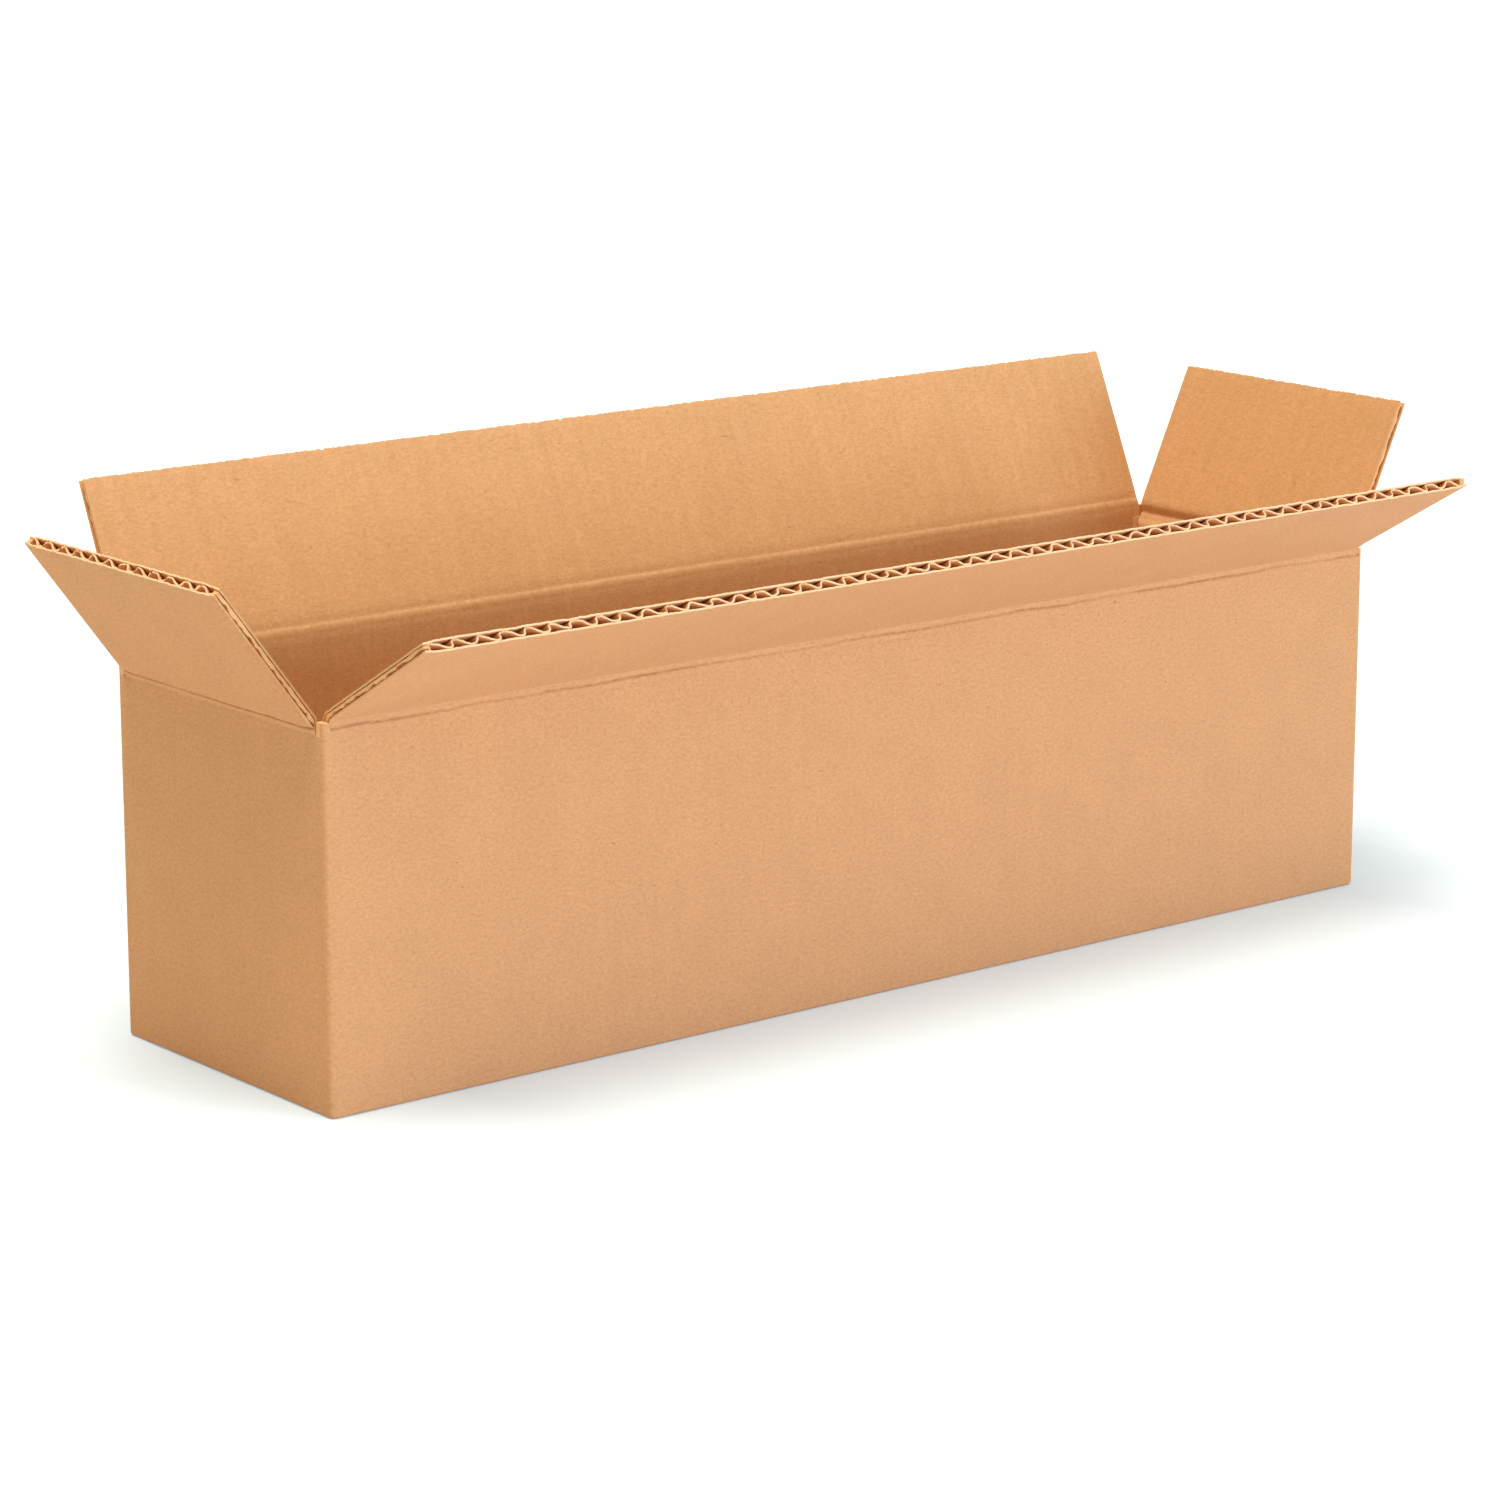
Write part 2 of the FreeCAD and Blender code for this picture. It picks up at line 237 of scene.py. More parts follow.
class CartonPaperSettings(bpy.types.PropertyGroup):
    """Colours of the paper, and the painted shade of its pressed lines."""

    outer: colour_prop("Outer liner", "Kraft paper of the outside", (0.70, 0.350, 0.150))
    inner: colour_prop("Inner liner", "Kraft paper of the inside", (0.66, 0.345, 0.135))
    torn: colour_prop("Torn edge", "Fibres of a cut or torn edge", (0.85, 0.58, 0.33))
    medium: colour_prop("Fluted sheet", "Paper between the liners", (0.88, 0.47, 0.18))
    fibre: colour_prop("Pale fibres", "Long pale fibres on the face", (0.82, 0.49, 0.26))
    fleck: colour_prop("Dark flecks", "Bark specks in the pulp", (0.30, 0.14, 0.055))
    # painted shade: this dark colour goes into pressed crease lines, slit edge hollows, beside
    # inside corner ridges and along the tab's rim
    groove: colour_prop("Pressed line", "Paper in a pressed crease", (0.34, 0.15, 0.055))


class CartonStageSettings(bpy.types.PropertyGroup):
    """Camera, lamps and ground."""

    azimuth: number_prop("Azimuth", "Camera angle round the carton, degrees", -38.963, -360, 360)
    elevation: number_prop("Elevation", "Camera angle above the ground, degrees", 13.28, -90, 90)
    distance: length_prop("Distance", "From the camera to its target", 1.48132)
    target: bpy.props.FloatVectorProperty(
        name="Target", description="Point that the camera faces",
        default=(-0.010465, 0.0, 0.06881), size=3, precision=5, subtype="XYZ", unit="LENGTH",
    )
    lens: bpy.props.FloatProperty(
        name="Lens", description="Focal length in millimetres", default=112.95, min=1
    )
    fill: number_prop("Fill", "Even light from all round", 0.58)
    fill_tint: colour_prop("Fill tint", "Colour of the even light", (1.0, 0.92, 0.79))
    key: number_prop("Key", "Power of the soft lamp before the front wall, watts", 40.0, 0, 1000)
    key_tint: colour_prop("Key tint", "Colour of that lamp", (0.54, 0.71, 1.0))
    top: number_prop("Top", "Power of the soft lamp overhead, watts", 38.0, 0, 1000)
    top_tint: colour_prop("Top tint", "Colour of that lamp", (1.0, 0.95, 0.88))
    ground: colour_prop("Ground", "Colour of the floor", (0.83, 0.86, 0.86))
    near_glow: colour_prop("Near glow", "Added to the floor near the carton", (0.13, 0.24, 0.30))
    far_glow: colour_prop("Far glow", "Added to the floor far from it", (0.80, 0.80, 0.80))


GROUPS = {
    "carton_board": CartonBoardSettings,
    "carton_crease": CartonCreaseSettings,
    "carton_wall": CartonWallSettings,
    "carton_paper": CartonPaperSettings,
    "carton_stage": CartonStageSettings,
}


def soft_noise(x, y, cell_x, cell_y, seed):
    """Smooth random field from -1 to 1, the same on every run."""
    x, y = np.broadcast_arrays(x / cell_x, y / cell_y)
    column, row = np.floor(x).astype(int), np.floor(y).astype(int)
    part_x, part_y = smooth_step(0, 1, x - column), smooth_step(0, 1, y - row)
    column, row = column - column.min(), row - row.min()
    table = np.random.default_rng(seed).uniform(-1, 1, (column.max() + 2, row.max() + 2))
    low = table[column, row] * (1 - part_x) + table[column + 1, row] * part_x
    high = table[column, row + 1] * (1 - part_x) + table[column + 1, row + 1] * part_x
    return low * (1 - part_y) + high * part_y


def line_noise(along, cell, seed):
    """Smooth random line from -1 to 1, the same on every run."""
    return soft_noise(along, 0 * along, cell, 1, seed)


def bell(value, centre, width):
    """A smooth hump, 1 at its centre."""
    return np.exp(-(((value - centre) / width) ** 2))


def quarter_turn(count):
    """Even angles from 0 to a right angle."""
    return np.linspace(0, math.pi / 2, count)


def spread(low, high, step):
    """Even numbers from low to high, about a step apart."""
    return np.linspace(low, high, max(2, round((high - low) / step) + 1))


def spread_evenly(length, step):
    """Even numbers over a length with its middle at nought."""
    return spread(-length / 2, length / 2, step)


class Paper:
    """Closed sheets of paper gathered for one mesh."""

    def __init__(self):
        self.points, self.board, self.marks = [], [], []
        self.faces, self.finish = [], []
        self.count = 0

    def add(self, outside, inside, board_out, board_in, marks_out=None, marks_in=None,
            finishes=(OUTER, INNER, TORN, TORN)):
        """Add a sheet between two grids of points, with its four borders closed.

        The finishes are those of the outside grid, the inside grid, the borders
        along the rows and the borders along the columns.
        """
        rows, columns = outside.shape[:2]
        size = rows * columns
        index = np.arange(size).reshape(rows, columns)
        quads = np.stack(
            [index[:-1, :-1], index[:-1, 1:], index[1:, 1:], index[1:, :-1]], -1
        ).reshape(-1, 4)
        rim = np.concatenate([index[0], index[1:, -1], index[-1, -2::-1], index[-2:0:-1, 0]])
        following = np.roll(rim, -1)
        border = np.stack([following, rim, rim + size, following + size], -1)
        faces = [quads, quads[:, ::-1] + size, border]
        middle = outside[rows // 2, columns // 2]
        row_way = outside[rows // 2 - 1, columns // 2] - middle
        column_way = outside[rows // 2, columns // 2 - 1] - middle
        facing = np.cross(column_way, row_way)
        if facing @ (middle - inside[rows // 2, columns // 2]) < 0:
            faces = [part[:, ::-1] for part in faces]
        none = np.zeros_like(outside)
        for store, pair in (
            (self.points, (outside, inside)),
            (self.board, (board_out, board_in)),
            (self.marks, (none if marks_out is None else marks_out,
                          none if marks_in is None else marks_in)),
        ):
            store.extend(part.reshape(-1, 3) for part in pair)
        sides = np.repeat(finishes[2:] * 2, [columns - 1, rows - 1] * 2)
        for part, finish in zip(faces, (finishes[0], finishes[1], sides)):
            self.faces.append(part + self.count)
            self.finish.append(np.broadcast_to(finish, len(part)))
        self.count += 2 * size

    def build(self, name):
        """Make the object of all sheets added."""
        mesh = bpy.data.meshes.new(name)
        faces = np.concatenate(self.faces)
        mesh.from_pydata(np.concatenate(self.points).tolist(), [], faces.tolist())
        for attribute, values in (("board", self.board), ("marks", self.marks)):
            layer = mesh.attributes.new(attribute, "FLOAT_VECTOR", "POINT")
            layer.data.foreach_set("vector", np.concatenate(values).astype(np.float32).ravel())
        mesh.polygons.foreach_set("material_index", np.concatenate(self.finish).astype(np.int32))
        for material in paper_materials():
            mesh.materials.append(material)
        mesh.validate()
        mesh.shade_smooth()
        mesh.set_sharp_from_angle(angle=SHARP_PAPER)
        return link(name, mesh)


def link(name, mesh):
    """Put a mesh into the scene, at the origin."""
    item = bpy.data.objects.new(name, mesh)
    bpy.context.scene.collection.objects.link(item)
    return item


def stack(*parts):
    """Three fields of numbers as one grid of points."""
    return np.stack(np.broadcast_arrays(*parts), -1).astype(float)


def node(tree, kind, values=None, **settings):
    """Add a node, with its settings and the values of its sockets."""
    made = tree.nodes.new(kind)
    for key, value in settings.items():
        setattr(made, key, value)
    for key, value in (values or {}).items():
        if isinstance(value, bpy.types.NodeSocket):
            tree.links.new(value, made.inputs[key])
        else:
            made.inputs[key].default_value = value
    return made


def calculate(tree, operation, *values):
    """A Math node's result."""
    return node(
        tree, "ShaderNodeMath", dict(enumerate(values)), operation=operation
    ).outputs[0]


def multiply(tree, first, second):
    """Two values multiplied."""
    return calculate(tree, "MULTIPLY", first, second)


def scale_vector(tree, vector, factors):
    """A vector with each part multiplied."""
    return node(
        tree, "ShaderNodeVectorMath", {0: vector, 1: factors}, operation="MULTIPLY"
    ).outputs[0]


def blend_colour(tree, share, first, second):
    """A Mix node's colour."""
    return node(
        tree, "ShaderNodeMix", {0: share, 6: first, 7: second}, data_type="RGBA"
    ).outputs[2]


def ramp(tree, value, low, high, to_low=0.0, to_high=1.0):
    """A value stretched from one range to another, and held there."""
    return node(
        tree, "ShaderNodeMapRange",
        {0: value, 1: low, 2: high, 3: to_low, 4: to_high},
        interpolation_type="SMOOTHSTEP",
    ).outputs[0]


def noise(tree, place, factors, detail=2.0, roughness=0.55):
    """A noise texture's value, with that many features per metre each way."""
    return node(tree, "ShaderNodeTexNoise", {
        "Vector": scale_vector(tree, place, factors), "Scale": 1.0,
        "Detail": detail, "Roughness": roughness,
    }).outputs[0]


FLOAT, VECTOR = "NodeSocketFloat", "NodeSocketVector"


def new_group(name, places, numbers, results):
    """A shader node group with named sockets, its input node and its output node."""
    tree = bpy.data.node_groups.new(name, "ShaderNodeTree")
    for side, kind, labels in (
        ("INPUT", VECTOR, places), ("INPUT", FLOAT, numbers), ("OUTPUT", FLOAT, results),
    ):
        for label in labels:
            tree.interface.new_socket(label, in_out=side, socket_type=kind)
    given = tree.nodes.new("NodeGroupInput").outputs
    return tree, given, tree.nodes.new("NodeGroupOutput").inputs


def fibre_group():
    """Long fibres pressed into the paper, and specks of bark among them."""
    tree, given, result = new_group(
        "paper_fibres", ["Board"], ["Along", "Across"], ["Fibres", "Flecks", "Grain", "Height"]
    )
    board = given["Board"]
    stretch = node(
        tree, "ShaderNodeCombineXYZ", {0: given["Along"], 1: given["Across"], 2: given["Across"]}
    ).outputs[0]
    fibres = noise(tree, board, stretch, 4.0, 0.7)
    specks = noise(tree, board, (420.0, 900.0, 900.0), 2.0, 0.5)
    fine = noise(tree, board, (1500.0, 2200.0, 2200.0), 3.0, 0.7)
    grain = noise(tree, board, (900.0, 1100.0, 1100.0), 2.0, 0.8)
    for label, value in (
        ("Fibres", ramp(tree, fibres, 0.36, 0.64)),
        ("Flecks", ramp(tree, specks, 0.70, 0.78)),
        ("Grain", ramp(tree, grain, 0.36, 0.64)),
        ("Height", calculate(tree, "MULTIPLY_ADD", fine, 0.5, fibres)),
    ):
        tree.links.new(value, result[label])
    return tree


def washboard_group():
    """The flutes telegraphing through a liner: faint upright ribs in the bump, with painted shade
    along them.
    """
    tree, given, result = new_group("flute_washboard", ["Board"], ["Pitch"], ["Height", "PaintedRibShade"])
    board = given["Board"]
    girth = node(tree, "ShaderNodeSeparateXYZ", {0: board}).outputs[0]
    stray = noise(tree, board, (55.0, 14.0, 0.0))
    turns = calculate(tree, "DIVIDE", girth, given["Pitch"])
    turns = calculate(tree, "MULTIPLY_ADD", stray, 0.5, turns)
    wave = calculate(tree, "SINE", multiply(tree, turns, math.tau))
    height = calculate(tree, "MULTIPLY_ADD", wave, 0.5, 0.5)
    patch = ramp(tree, noise(tree, board, (24.0, 9.0, 0.0)), 0.35, 0.7)
    tree.links.new(height, result["Height"])
    tree.links.new(multiply(tree, height, patch), result["PaintedRibShade"])
    return tree


def mottle_group():
    """Soft clouds where the pulp lies thicker or thinner."""
    tree, given, result = new_group("paper_mottle", ["Board"], ["Scale"], ["Clouds", "Streaks"])
    board, scale = given["Board"], given["Scale"]
    clouds = noise(tree, board, scale, 4.0, 0.6)
    streaks = noise(tree, scale_vector(tree, board, scale), (5.0, 0.35, 1.0), 3.0, 0.6)
    tree.links.new(ramp(tree, clouds, 0.3, 0.7), result["Clouds"])
    tree.links.new(ramp(tree, streaks, 0.3, 0.7), result["Streaks"])
    return tree


def wear_shade_highlight_group():
    """Wear at folds, painted highlight, painted shade and cut edges, broken up by the fibres."""
    labels = ["Worn", "PressedAndPaintedShade", "Cut"]
    tree, given, result = new_group("wear_shade_and_highlight", ["Board", "Marks"], [], labels)
    marks = node(tree, "ShaderNodeSeparateXYZ", {0: given["Marks"]}).outputs
    coarse = noise(tree, given["Board"], (420.0, 620.0, 620.0), 4.0, 0.7)
    broken = ramp(tree, coarse, 0.34, 0.66, 0.25, 1.0)
    for mark, label in zip(marks, labels):
        tree.links.new(multiply(tree, mark, broken), result[label])
    return tree


SHARED_GROUPS = {
    "paper_fibres": fibre_group,
    "flute_washboard": washboard_group,
    "paper_mottle": mottle_group,
    "wear_shade_and_highlight": wear_shade_highlight_group,
}


def use_group(tree, name, values):
    """Place a shared group, which is built the first time."""
    shared = bpy.data.node_groups.get(name) or SHARED_GROUPS[name]()
    return node(tree, "ShaderNodeGroup", values, node_tree=shared).outputs


def tint(colour, factor=1.0):
    """A colour made darker or paler, as a socket takes it."""
    return (*(part * factor for part in colour), 1.0)


# Each finish: its colour's setting, the shares of its fibres, flecks, grit, clouds, streaks
# and ribs, which are painted shade and bump along the flutes, the height of its relief and its
# roughness.
FINISHES = {
    "outer_liner": dict(
        colour="outer", fibres=0.22, flecks=0.55, grit=0.50, clouds=0.03, streaks=0.04,
        ribs=0.06, relief=2.0, rough=0.82,
    ),
    "inner_liner": dict(
        colour="inner", fibres=0.20, flecks=0.50, grit=0.42, clouds=0.03, streaks=0.16,
        ribs=0.14, relief=1.8, rough=0.84,
    ),
    "torn_edge": dict(
        colour="torn", fibres=0.30, flecks=0.25, grit=0.25, clouds=0.08, streaks=0.0,
        ribs=0.0, relief=2.2, rough=0.92,
    ),
    "medium": dict(
        colour="medium", fibres=0.20, flecks=0.30, grit=0.25, clouds=0.06, streaks=0.0,
        ribs=0.0, relief=1.2, rough=0.88,
    ),
}
# How dark grit and the painted rib shade are, how pale worn folds and the painted highlight are,
# and how strongly these show.
GRIT_AND_RIB_SHADE, WORN_AND_HIGHLIGHT_TINT, WORN_AND_HIGHLIGHT_SHARE = 0.72, 1.05, 0.55
SHINE, SHEEN = 0.18, 0.04
FIBRES_ALONG, FIBRES_ACROSS, CLOUDS_PER_METRE = 480.0, 1300.0, 55.0
RIB_RELIEF, BUMP_STRENGTH, BUMP_DISTANCE = 0.9, 0.5, 0.0001


def paper_material(name, colour, fibres, flecks, grit, clouds, streaks, ribs, relief, rough):
    """Kraft paper: its colour, fibres, specks, clouds, streaks, ribs and worn folds."""
    paper, pitch = bpy.context.scene.carton_paper, bpy.context.scene.carton_board.pitch
    base = getattr(paper, colour)
    material = bpy.data.materials.new(name)
    material.use_nodes = True
    tree = material.node_tree
    shader = tree.nodes["Principled BSDF"]
    shader.inputs["Specular IOR Level"].default_value = SHINE
    shader.inputs["Sheen Weight"].default_value = SHEEN
    board = node(tree, "ShaderNodeAttribute", attribute_name="board").outputs["Vector"]
    marks = node(tree, "ShaderNodeAttribute", attribute_name="marks").outputs["Vector"]
    fibre = use_group(
        tree, "paper_fibres", {"Board": board, "Along": FIBRES_ALONG, "Across": FIBRES_ACROSS}
    )
    rib = use_group(tree, "flute_washboard", {"Board": board, "Pitch": pitch})
    mottle = use_group(tree, "paper_mottle", {"Board": board, "Scale": CLOUDS_PER_METRE})
    mark_masks = use_group(tree, "wear_shade_and_highlight", {"Board": board, "Marks": marks})

    shown = blend_colour(tree, mottle["Clouds"], tint(base, 1 - clouds), tint(base, 1 + clouds))
    for mask, share, layer in (
        (mottle["Streaks"], streaks, tint(paper.fibre)),
        (fibre["Grain"], grit, tint(base, GRIT_AND_RIB_SHADE)),
        # painted shade: darker upright stripes at the flute pitch
        (rib["PaintedRibShade"], ribs, tint(base, GRIT_AND_RIB_SHADE)),
        (fibre["Fibres"], fibres, tint(paper.fibre)),
        (fibre["Flecks"], flecks, tint(paper.fleck)),
        # wear at folds, and the painted highlight along the inside of creases
        (mark_masks["Worn"], WORN_AND_HIGHLIGHT_SHARE, tint(paper.fibre, WORN_AND_HIGHLIGHT_TINT)),
        # painted shade in crease lines, slit hollows, inside corners and along the tab's rim
        (mark_masks["PressedAndPaintedShade"], 1.0, tint(paper.groove)),
        (mark_masks["Cut"], 1.0, tint(paper.torn)),
    ):
        shown = blend_colour(tree, multiply(tree, mask, share), shown, layer)
    tree.links.new(shown, shader.inputs["Base Color"])

    roughness = ramp(tree, fibre["Height"], 0.4, 1.1, rough + 0.06, rough - 0.06)
    tree.links.new(roughness, shader.inputs["Roughness"])
    height = multiply(tree, fibre["Height"], relief)
    height = calculate(tree, "MULTIPLY_ADD", rib["Height"], ribs * RIB_RELIEF, height)
    bump = node(tree, "ShaderNodeBump", {
        "Strength": BUMP_STRENGTH, "Distance": BUMP_DISTANCE, "Height": height,
    })
    tree.links.new(bump.outputs[0], shader.inputs["Normal"])
    return material


def paper_materials():
    """The four finishes of the board, in the order of their numbers."""
    return [
        bpy.data.materials.get(name) or paper_material(name, **look)
        for name, look in FINISHES.items()
    ]


def ride(item, body):
    """Fix a piece to a body."""
    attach(item, body)


def wall_rows(top, radius, thickness):
    """Section of a wall from its top down to the ground and under.

    Gives how far in the outer line lies, how high it is, and how high the inner line is.
    """
    upright, turn = spread(top, radius, WALL_STEP), quarter_turn(6)[1:]
    outer_in = np.concatenate([0 * upright, radius * (1 - np.cos(turn)), [thickness]])
    outer_up = np.concatenate([upright, radius * (1 - np.sin(turn)), [0]])
    return outer_in, outer_up, np.linspace(top, thickness, len(outer_up))


# How worn the folds look and how deep their dents are, then how far the ridge inside a
# corner reaches into the walls, how hollow it is and how wide its foot is.
FOLD_WEAR, CORNER_WEAR, CORNER_DENT = 0.5, 0.75, 0.00006
BEAD_BACK, BEAD_SQUEEZE, BEAD_FOOT = 0.0002, 0.35, 0.98


def add_wall(paper, panel, board, wall, band):
    """One wall from the crease's band down to the ground, with its fold there."""
    level = panel.hinge.z
    depth, rise, inner_rise = wall_rows(level - band, wall.fold_radius, board.thickness)
    across = spread_evenly(panel.length, WALL_STEP)
    across, depth = np.meshgrid(across, depth)
    rise, inner_rise = rise[:, None] + 0 * across, inner_rise[:, None] + 0 * across
    flat = 0 * across
    girth = panel.girth + across
    paper.add(
        panel.place(across, depth, rise - level),
        panel.place(across, board.thickness, inner_rise - level),
        stack(girth, rise - depth, flat), stack(girth, inner_rise, flat + board.thickness),
        stack(FOLD_WEAR * bell(rise, 0, wall.fold_radius), flat, flat),
    )


def add_corner(paper, board, x_side, y_side, high, low, inset, stub):
    """The rounded upright fold between two walls, from a high level down to a low one.

    A stub has only the long wall's part of it, and stands on the fold beside the crease.
    """
    turn = quarter_turn(8)
    in_x, in_y = np.sin(turn), np.cos(turn)
    x, y = HALF_LENGTH - inset + inset * in_x, HALF_WIDTH - inset + inset * in_y
    arc = turn * inset - inset
    deep_x = HALF_LENGTH if stub else HALF_LENGTH - board.thickness
    edge_x = np.linspace(HALF_LENGTH - inset, deep_x, len(turn))
    edge_y = HALF_WIDTH - board.thickness + 0 * edge_x
    rise = spread(high, low, CORNER_STEP)
    tuck = 0 * rise
    if not stub:
        start, bow = END_PANELS[0].length / 2, quarter_turn(6)[1:]
        x, in_x, edge_x = np.append(x, HALF_LENGTH), np.append(in_x, 1.0), np.append(edge_x, deep_x)
        y, in_y, edge_y = np.append(y, start), np.append(in_y, 0.0), np.append(edge_y, start)
        arc = np.append(arc, arc[-1] + HALF_WIDTH - inset - start)
        rise = np.concatenate([rise, low * (1 - np.sin(bow))])
        tuck = np.concatenate([tuck, low * (1 - np.cos(bow))])
    rise, tuck = rise[:, None], tuck[:, None]
    column = np.arange(len(x))
    round_share = np.clip(column / (len(turn) - 1), 0, 1)
    dent = soft_noise(rise, column * 0.0006, 0.0016, 0.0012, board.seed)
    tuck = tuck + CORNER_DENT * np.abs(dent) * np.sin(math.pi * round_share)
    # Each fold takes its own stretch of the sheet, in their order round the carton.
    order = {(-1, -1): -1, (1, -1): 1, (1, 1): 3, (-1, 1): 5}[(x_side, y_side)]
    corner_girth = order * HALF_LENGTH + (order // 2 + (order < 0)) * 2 * HALF_WIDTH
    girth = corner_girth - x_side * y_side * arc + 0 * rise
    mark_masks = CORNER_WEAR * bell(column, (len(turn) - 1) / 2, 2.2) + 0 * rise
    flat = 0 * girth
    paper.add(
        stack(x_side * (x - tuck * in_x), y_side * (y - tuck * in_y), rise),
        stack(x_side * edge_x, y_side * edge_y, rise),
        stack(girth, rise, flat), stack(girth, rise, flat + board.thickness),
        stack(mark_masks, flat, flat), finishes=(OUTER, INNER, MEDIUM, MEDIUM),
    )


def add_bead(paper, wall, board, x_side, y_side, top, floor):
    """The ridge of squeezed paper inside an upright fold, with painted shade along each side."""
    turn = quarter_turn(7)
    rise = spread(top, floor, BEAD_STEP)[:, None]
    inner_x, inner_y = HALF_LENGTH - board.thickness, HALF_WIDTH - board.thickness
    width = wall.bead * (1 + 0.18 * line_noise(rise, 0.008, board.seed + x_side))
    out_x, out_y = width * np.cos(turn), width * np.sin(turn)
    free = 1 - BEAD_SQUEEZE * np.sin(2 * turn)
    x, y = inner_x - out_x * free, inner_y - out_y * free
    back_x = inner_x + BEAD_BACK - BEAD_FOOT * out_x
    back_y = inner_y + BEAD_BACK + 0 * y
    flat = 0 * x
    # painted shade: dark lines where the ridge meets the walls
    lines = flat + 0.95 * np.isin(np.arange(len(turn)), (0, len(turn) - 1))
    place = stack(x + y, rise, flat)
    paper.add(
        stack(x_side * x, y_side * y, rise), stack(x_side * back_x, y_side * back_y, rise),
        place, place, stack(0.1 + flat, lines, flat), finishes=(INNER,) * 4,
    )


def add_floor(paper, wall, board, side):
    """One long bottom flap, lying on the ground up to the middle seam."""
    inner_x = HALF_LENGTH - board.thickness - wall.slit
    across = spread_evenly(2 * inner_x, FLOOR_STEP)
    depth = spread(HALF_WIDTH - board.thickness, wall.slit / 2, FLOOR_STEP)
    across, depth = np.meshgrid(across, depth)
    flat = 0 * across
    girth = across + (side > 0) * 2 * (HALF_LENGTH + HALF_WIDTH)
    seam = stack(flat, flat, 0.8 * smooth_step(0.0016, 0.0, depth))
    faces = [stack(across, side * depth, flat + level) for level in (0, board.thickness)]
    places = [stack(girth, depth - HALF_WIDTH, flat + level) for level in (0, board.thickness)]
    paper.add(*faces, *places, seam, seam)


class CARTON_OT_walls(bpy.types.Operator):
    """Build the walls, their upright folds and the closed bottom"""

    bl_idname = "carton.walls"
    bl_label = "Walls and bottom"

    def execute(self, context):
        scene = context.scene
        board, wall, crease = scene.carton_board, scene.carton_wall, scene.carton_crease
        paper = Paper()
        for panel in PANELS.values():
            add_wall(paper, panel, board, wall, crease.band)
        top = END_PANELS[0].hinge.z - wall.crease_gap
        stub_top = LONG_PANELS[0].hinge.z - wall.stub_gap
        inset = HALF_LENGTH - LONG_PANELS[0].length / 2
        for x_side in (-1, 1):
            for y_side in (-1, 1):
                place = (board, x_side, y_side)
                add_corner(paper, *place, top, wall.fold_radius, inset, False)
                add_corner(paper, *place, stub_top, top, inset, True)
                add_bead(paper, wall, *place, top, 2 * board.thickness)
        for side in (-1, 1):
            add_floor(paper, wall, board, side)
        walls = paper.build("carton_walls")
        ride(walls, "carton")
        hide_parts("carton_body")
        return {"FINISHED"}


# Width and bevel of the tab's crushed rim, its dents, and its own stretch of the sheet.
TAB_RIM, TAB_BEVEL, TAB_DENT, TAB_GIRTH = 0.004, 0.0004, 0.0001, 0.9


class CARTON_OT_tab(bpy.types.Operator):
    """Build the glued tab inside the left end wall"""

    bl_idname = "carton.tab"
    bl_label = "Glued tab"

    def execute(self, context):
        scene = context.scene
        board, wall = scene.carton_board, scene.carton_wall
        top = END_PANELS[0].hinge.z - wall.tab_drop
        run = spread(0, wall.tab_width, TAB_STEP)[None, :]
        share = spread(0, 1, 0.02)[:, None]
        taper = wall.tab_taper * run / wall.tab_width
        low, high = 2 * board.thickness + taper, top - taper
        rise = high + (low - high) * share
        to_edge = np.minimum(
            wall.tab_width - run, np.minimum(high - rise, rise - low) + TAB_BEVEL
        )
        full = smooth_step(0, TAB_RIM, to_edge)
        dent = TAB_DENT * soft_noise(run, rise, 0.006, 0.006, board.seed) * full * (full < 1)
        thick = wall.tab_edge + (board.thickness - wall.tab_edge) * full + dent
        face = HALF_LENGTH - board.thickness
        y = HALF_WIDTH - board.thickness - run
        flat = 0 * rise
        place = stack(TAB_GIRTH + run, rise, flat)
        edge = 0.8 * (1 - smooth_step(0, 0.0012, to_edge))
        paper = Paper()
        # painted shade: the crushed rim is darkened a little with the pressed-line colour, beside
        # its step down to the wall
        paper.add(
            stack(thick - face, y, rise), stack(flat - face, y, rise), place, place,
            stack(flat, 0.15 * (1 - full), edge), finishes=(INNER, OUTER, TORN, TORN),
        )
        ride(paper.build("glued_tab"), "carton")
        return {"FINISHED"}


# Paper at the cut edges of a flap: rows of a liner back from its torn free edge, how far
# that edge sinks and how unevenly, where the crushed slit edge begins and how deep it is,
# and how far the flutes stop short of the free edge.
EDGE_ROWS = (0.006, 0.004, 0.0025, 0.0012, 0.0005, 0.0)
EDGE_SINK, EDGE_RAGGED, EDGE_REACH = 0.00006, 0.00024, 0.003
SLIT_FACE, SLIT_HOLLOW, SLIT_GRAIN = 0.0002, 0.0013, 0.00028
SLIT_WEAR, PINCH_REACH = 0.0006, 0.005
FLUTES_SHORT = 0.00035


def free_edge(across, board, seed):
    """How far the torn free edge falls short of a clean cut, at each distance along it."""
    fine = np.abs(line_noise(across, 0.0010, seed))
    nick = np.clip(line_noise(across, 0.0024, seed + 1) - 0.45, 0, 1)
    return board.fray * (0.5 * fine + 0.9 * nick)


def pressed_flat(across, length, board):
    """How far each liner is pressed in near the slit edges of a flap."""
    return board.pinch * (1 - smooth_step(0, PINCH_REACH, length / 2 - np.abs(across)))


def slit_wear(across, length):
    """How cut the paper looks close to the slit edges of a flap."""
    return smooth_step(SLIT_WEAR, 0.0, length / 2 - np.abs(across))


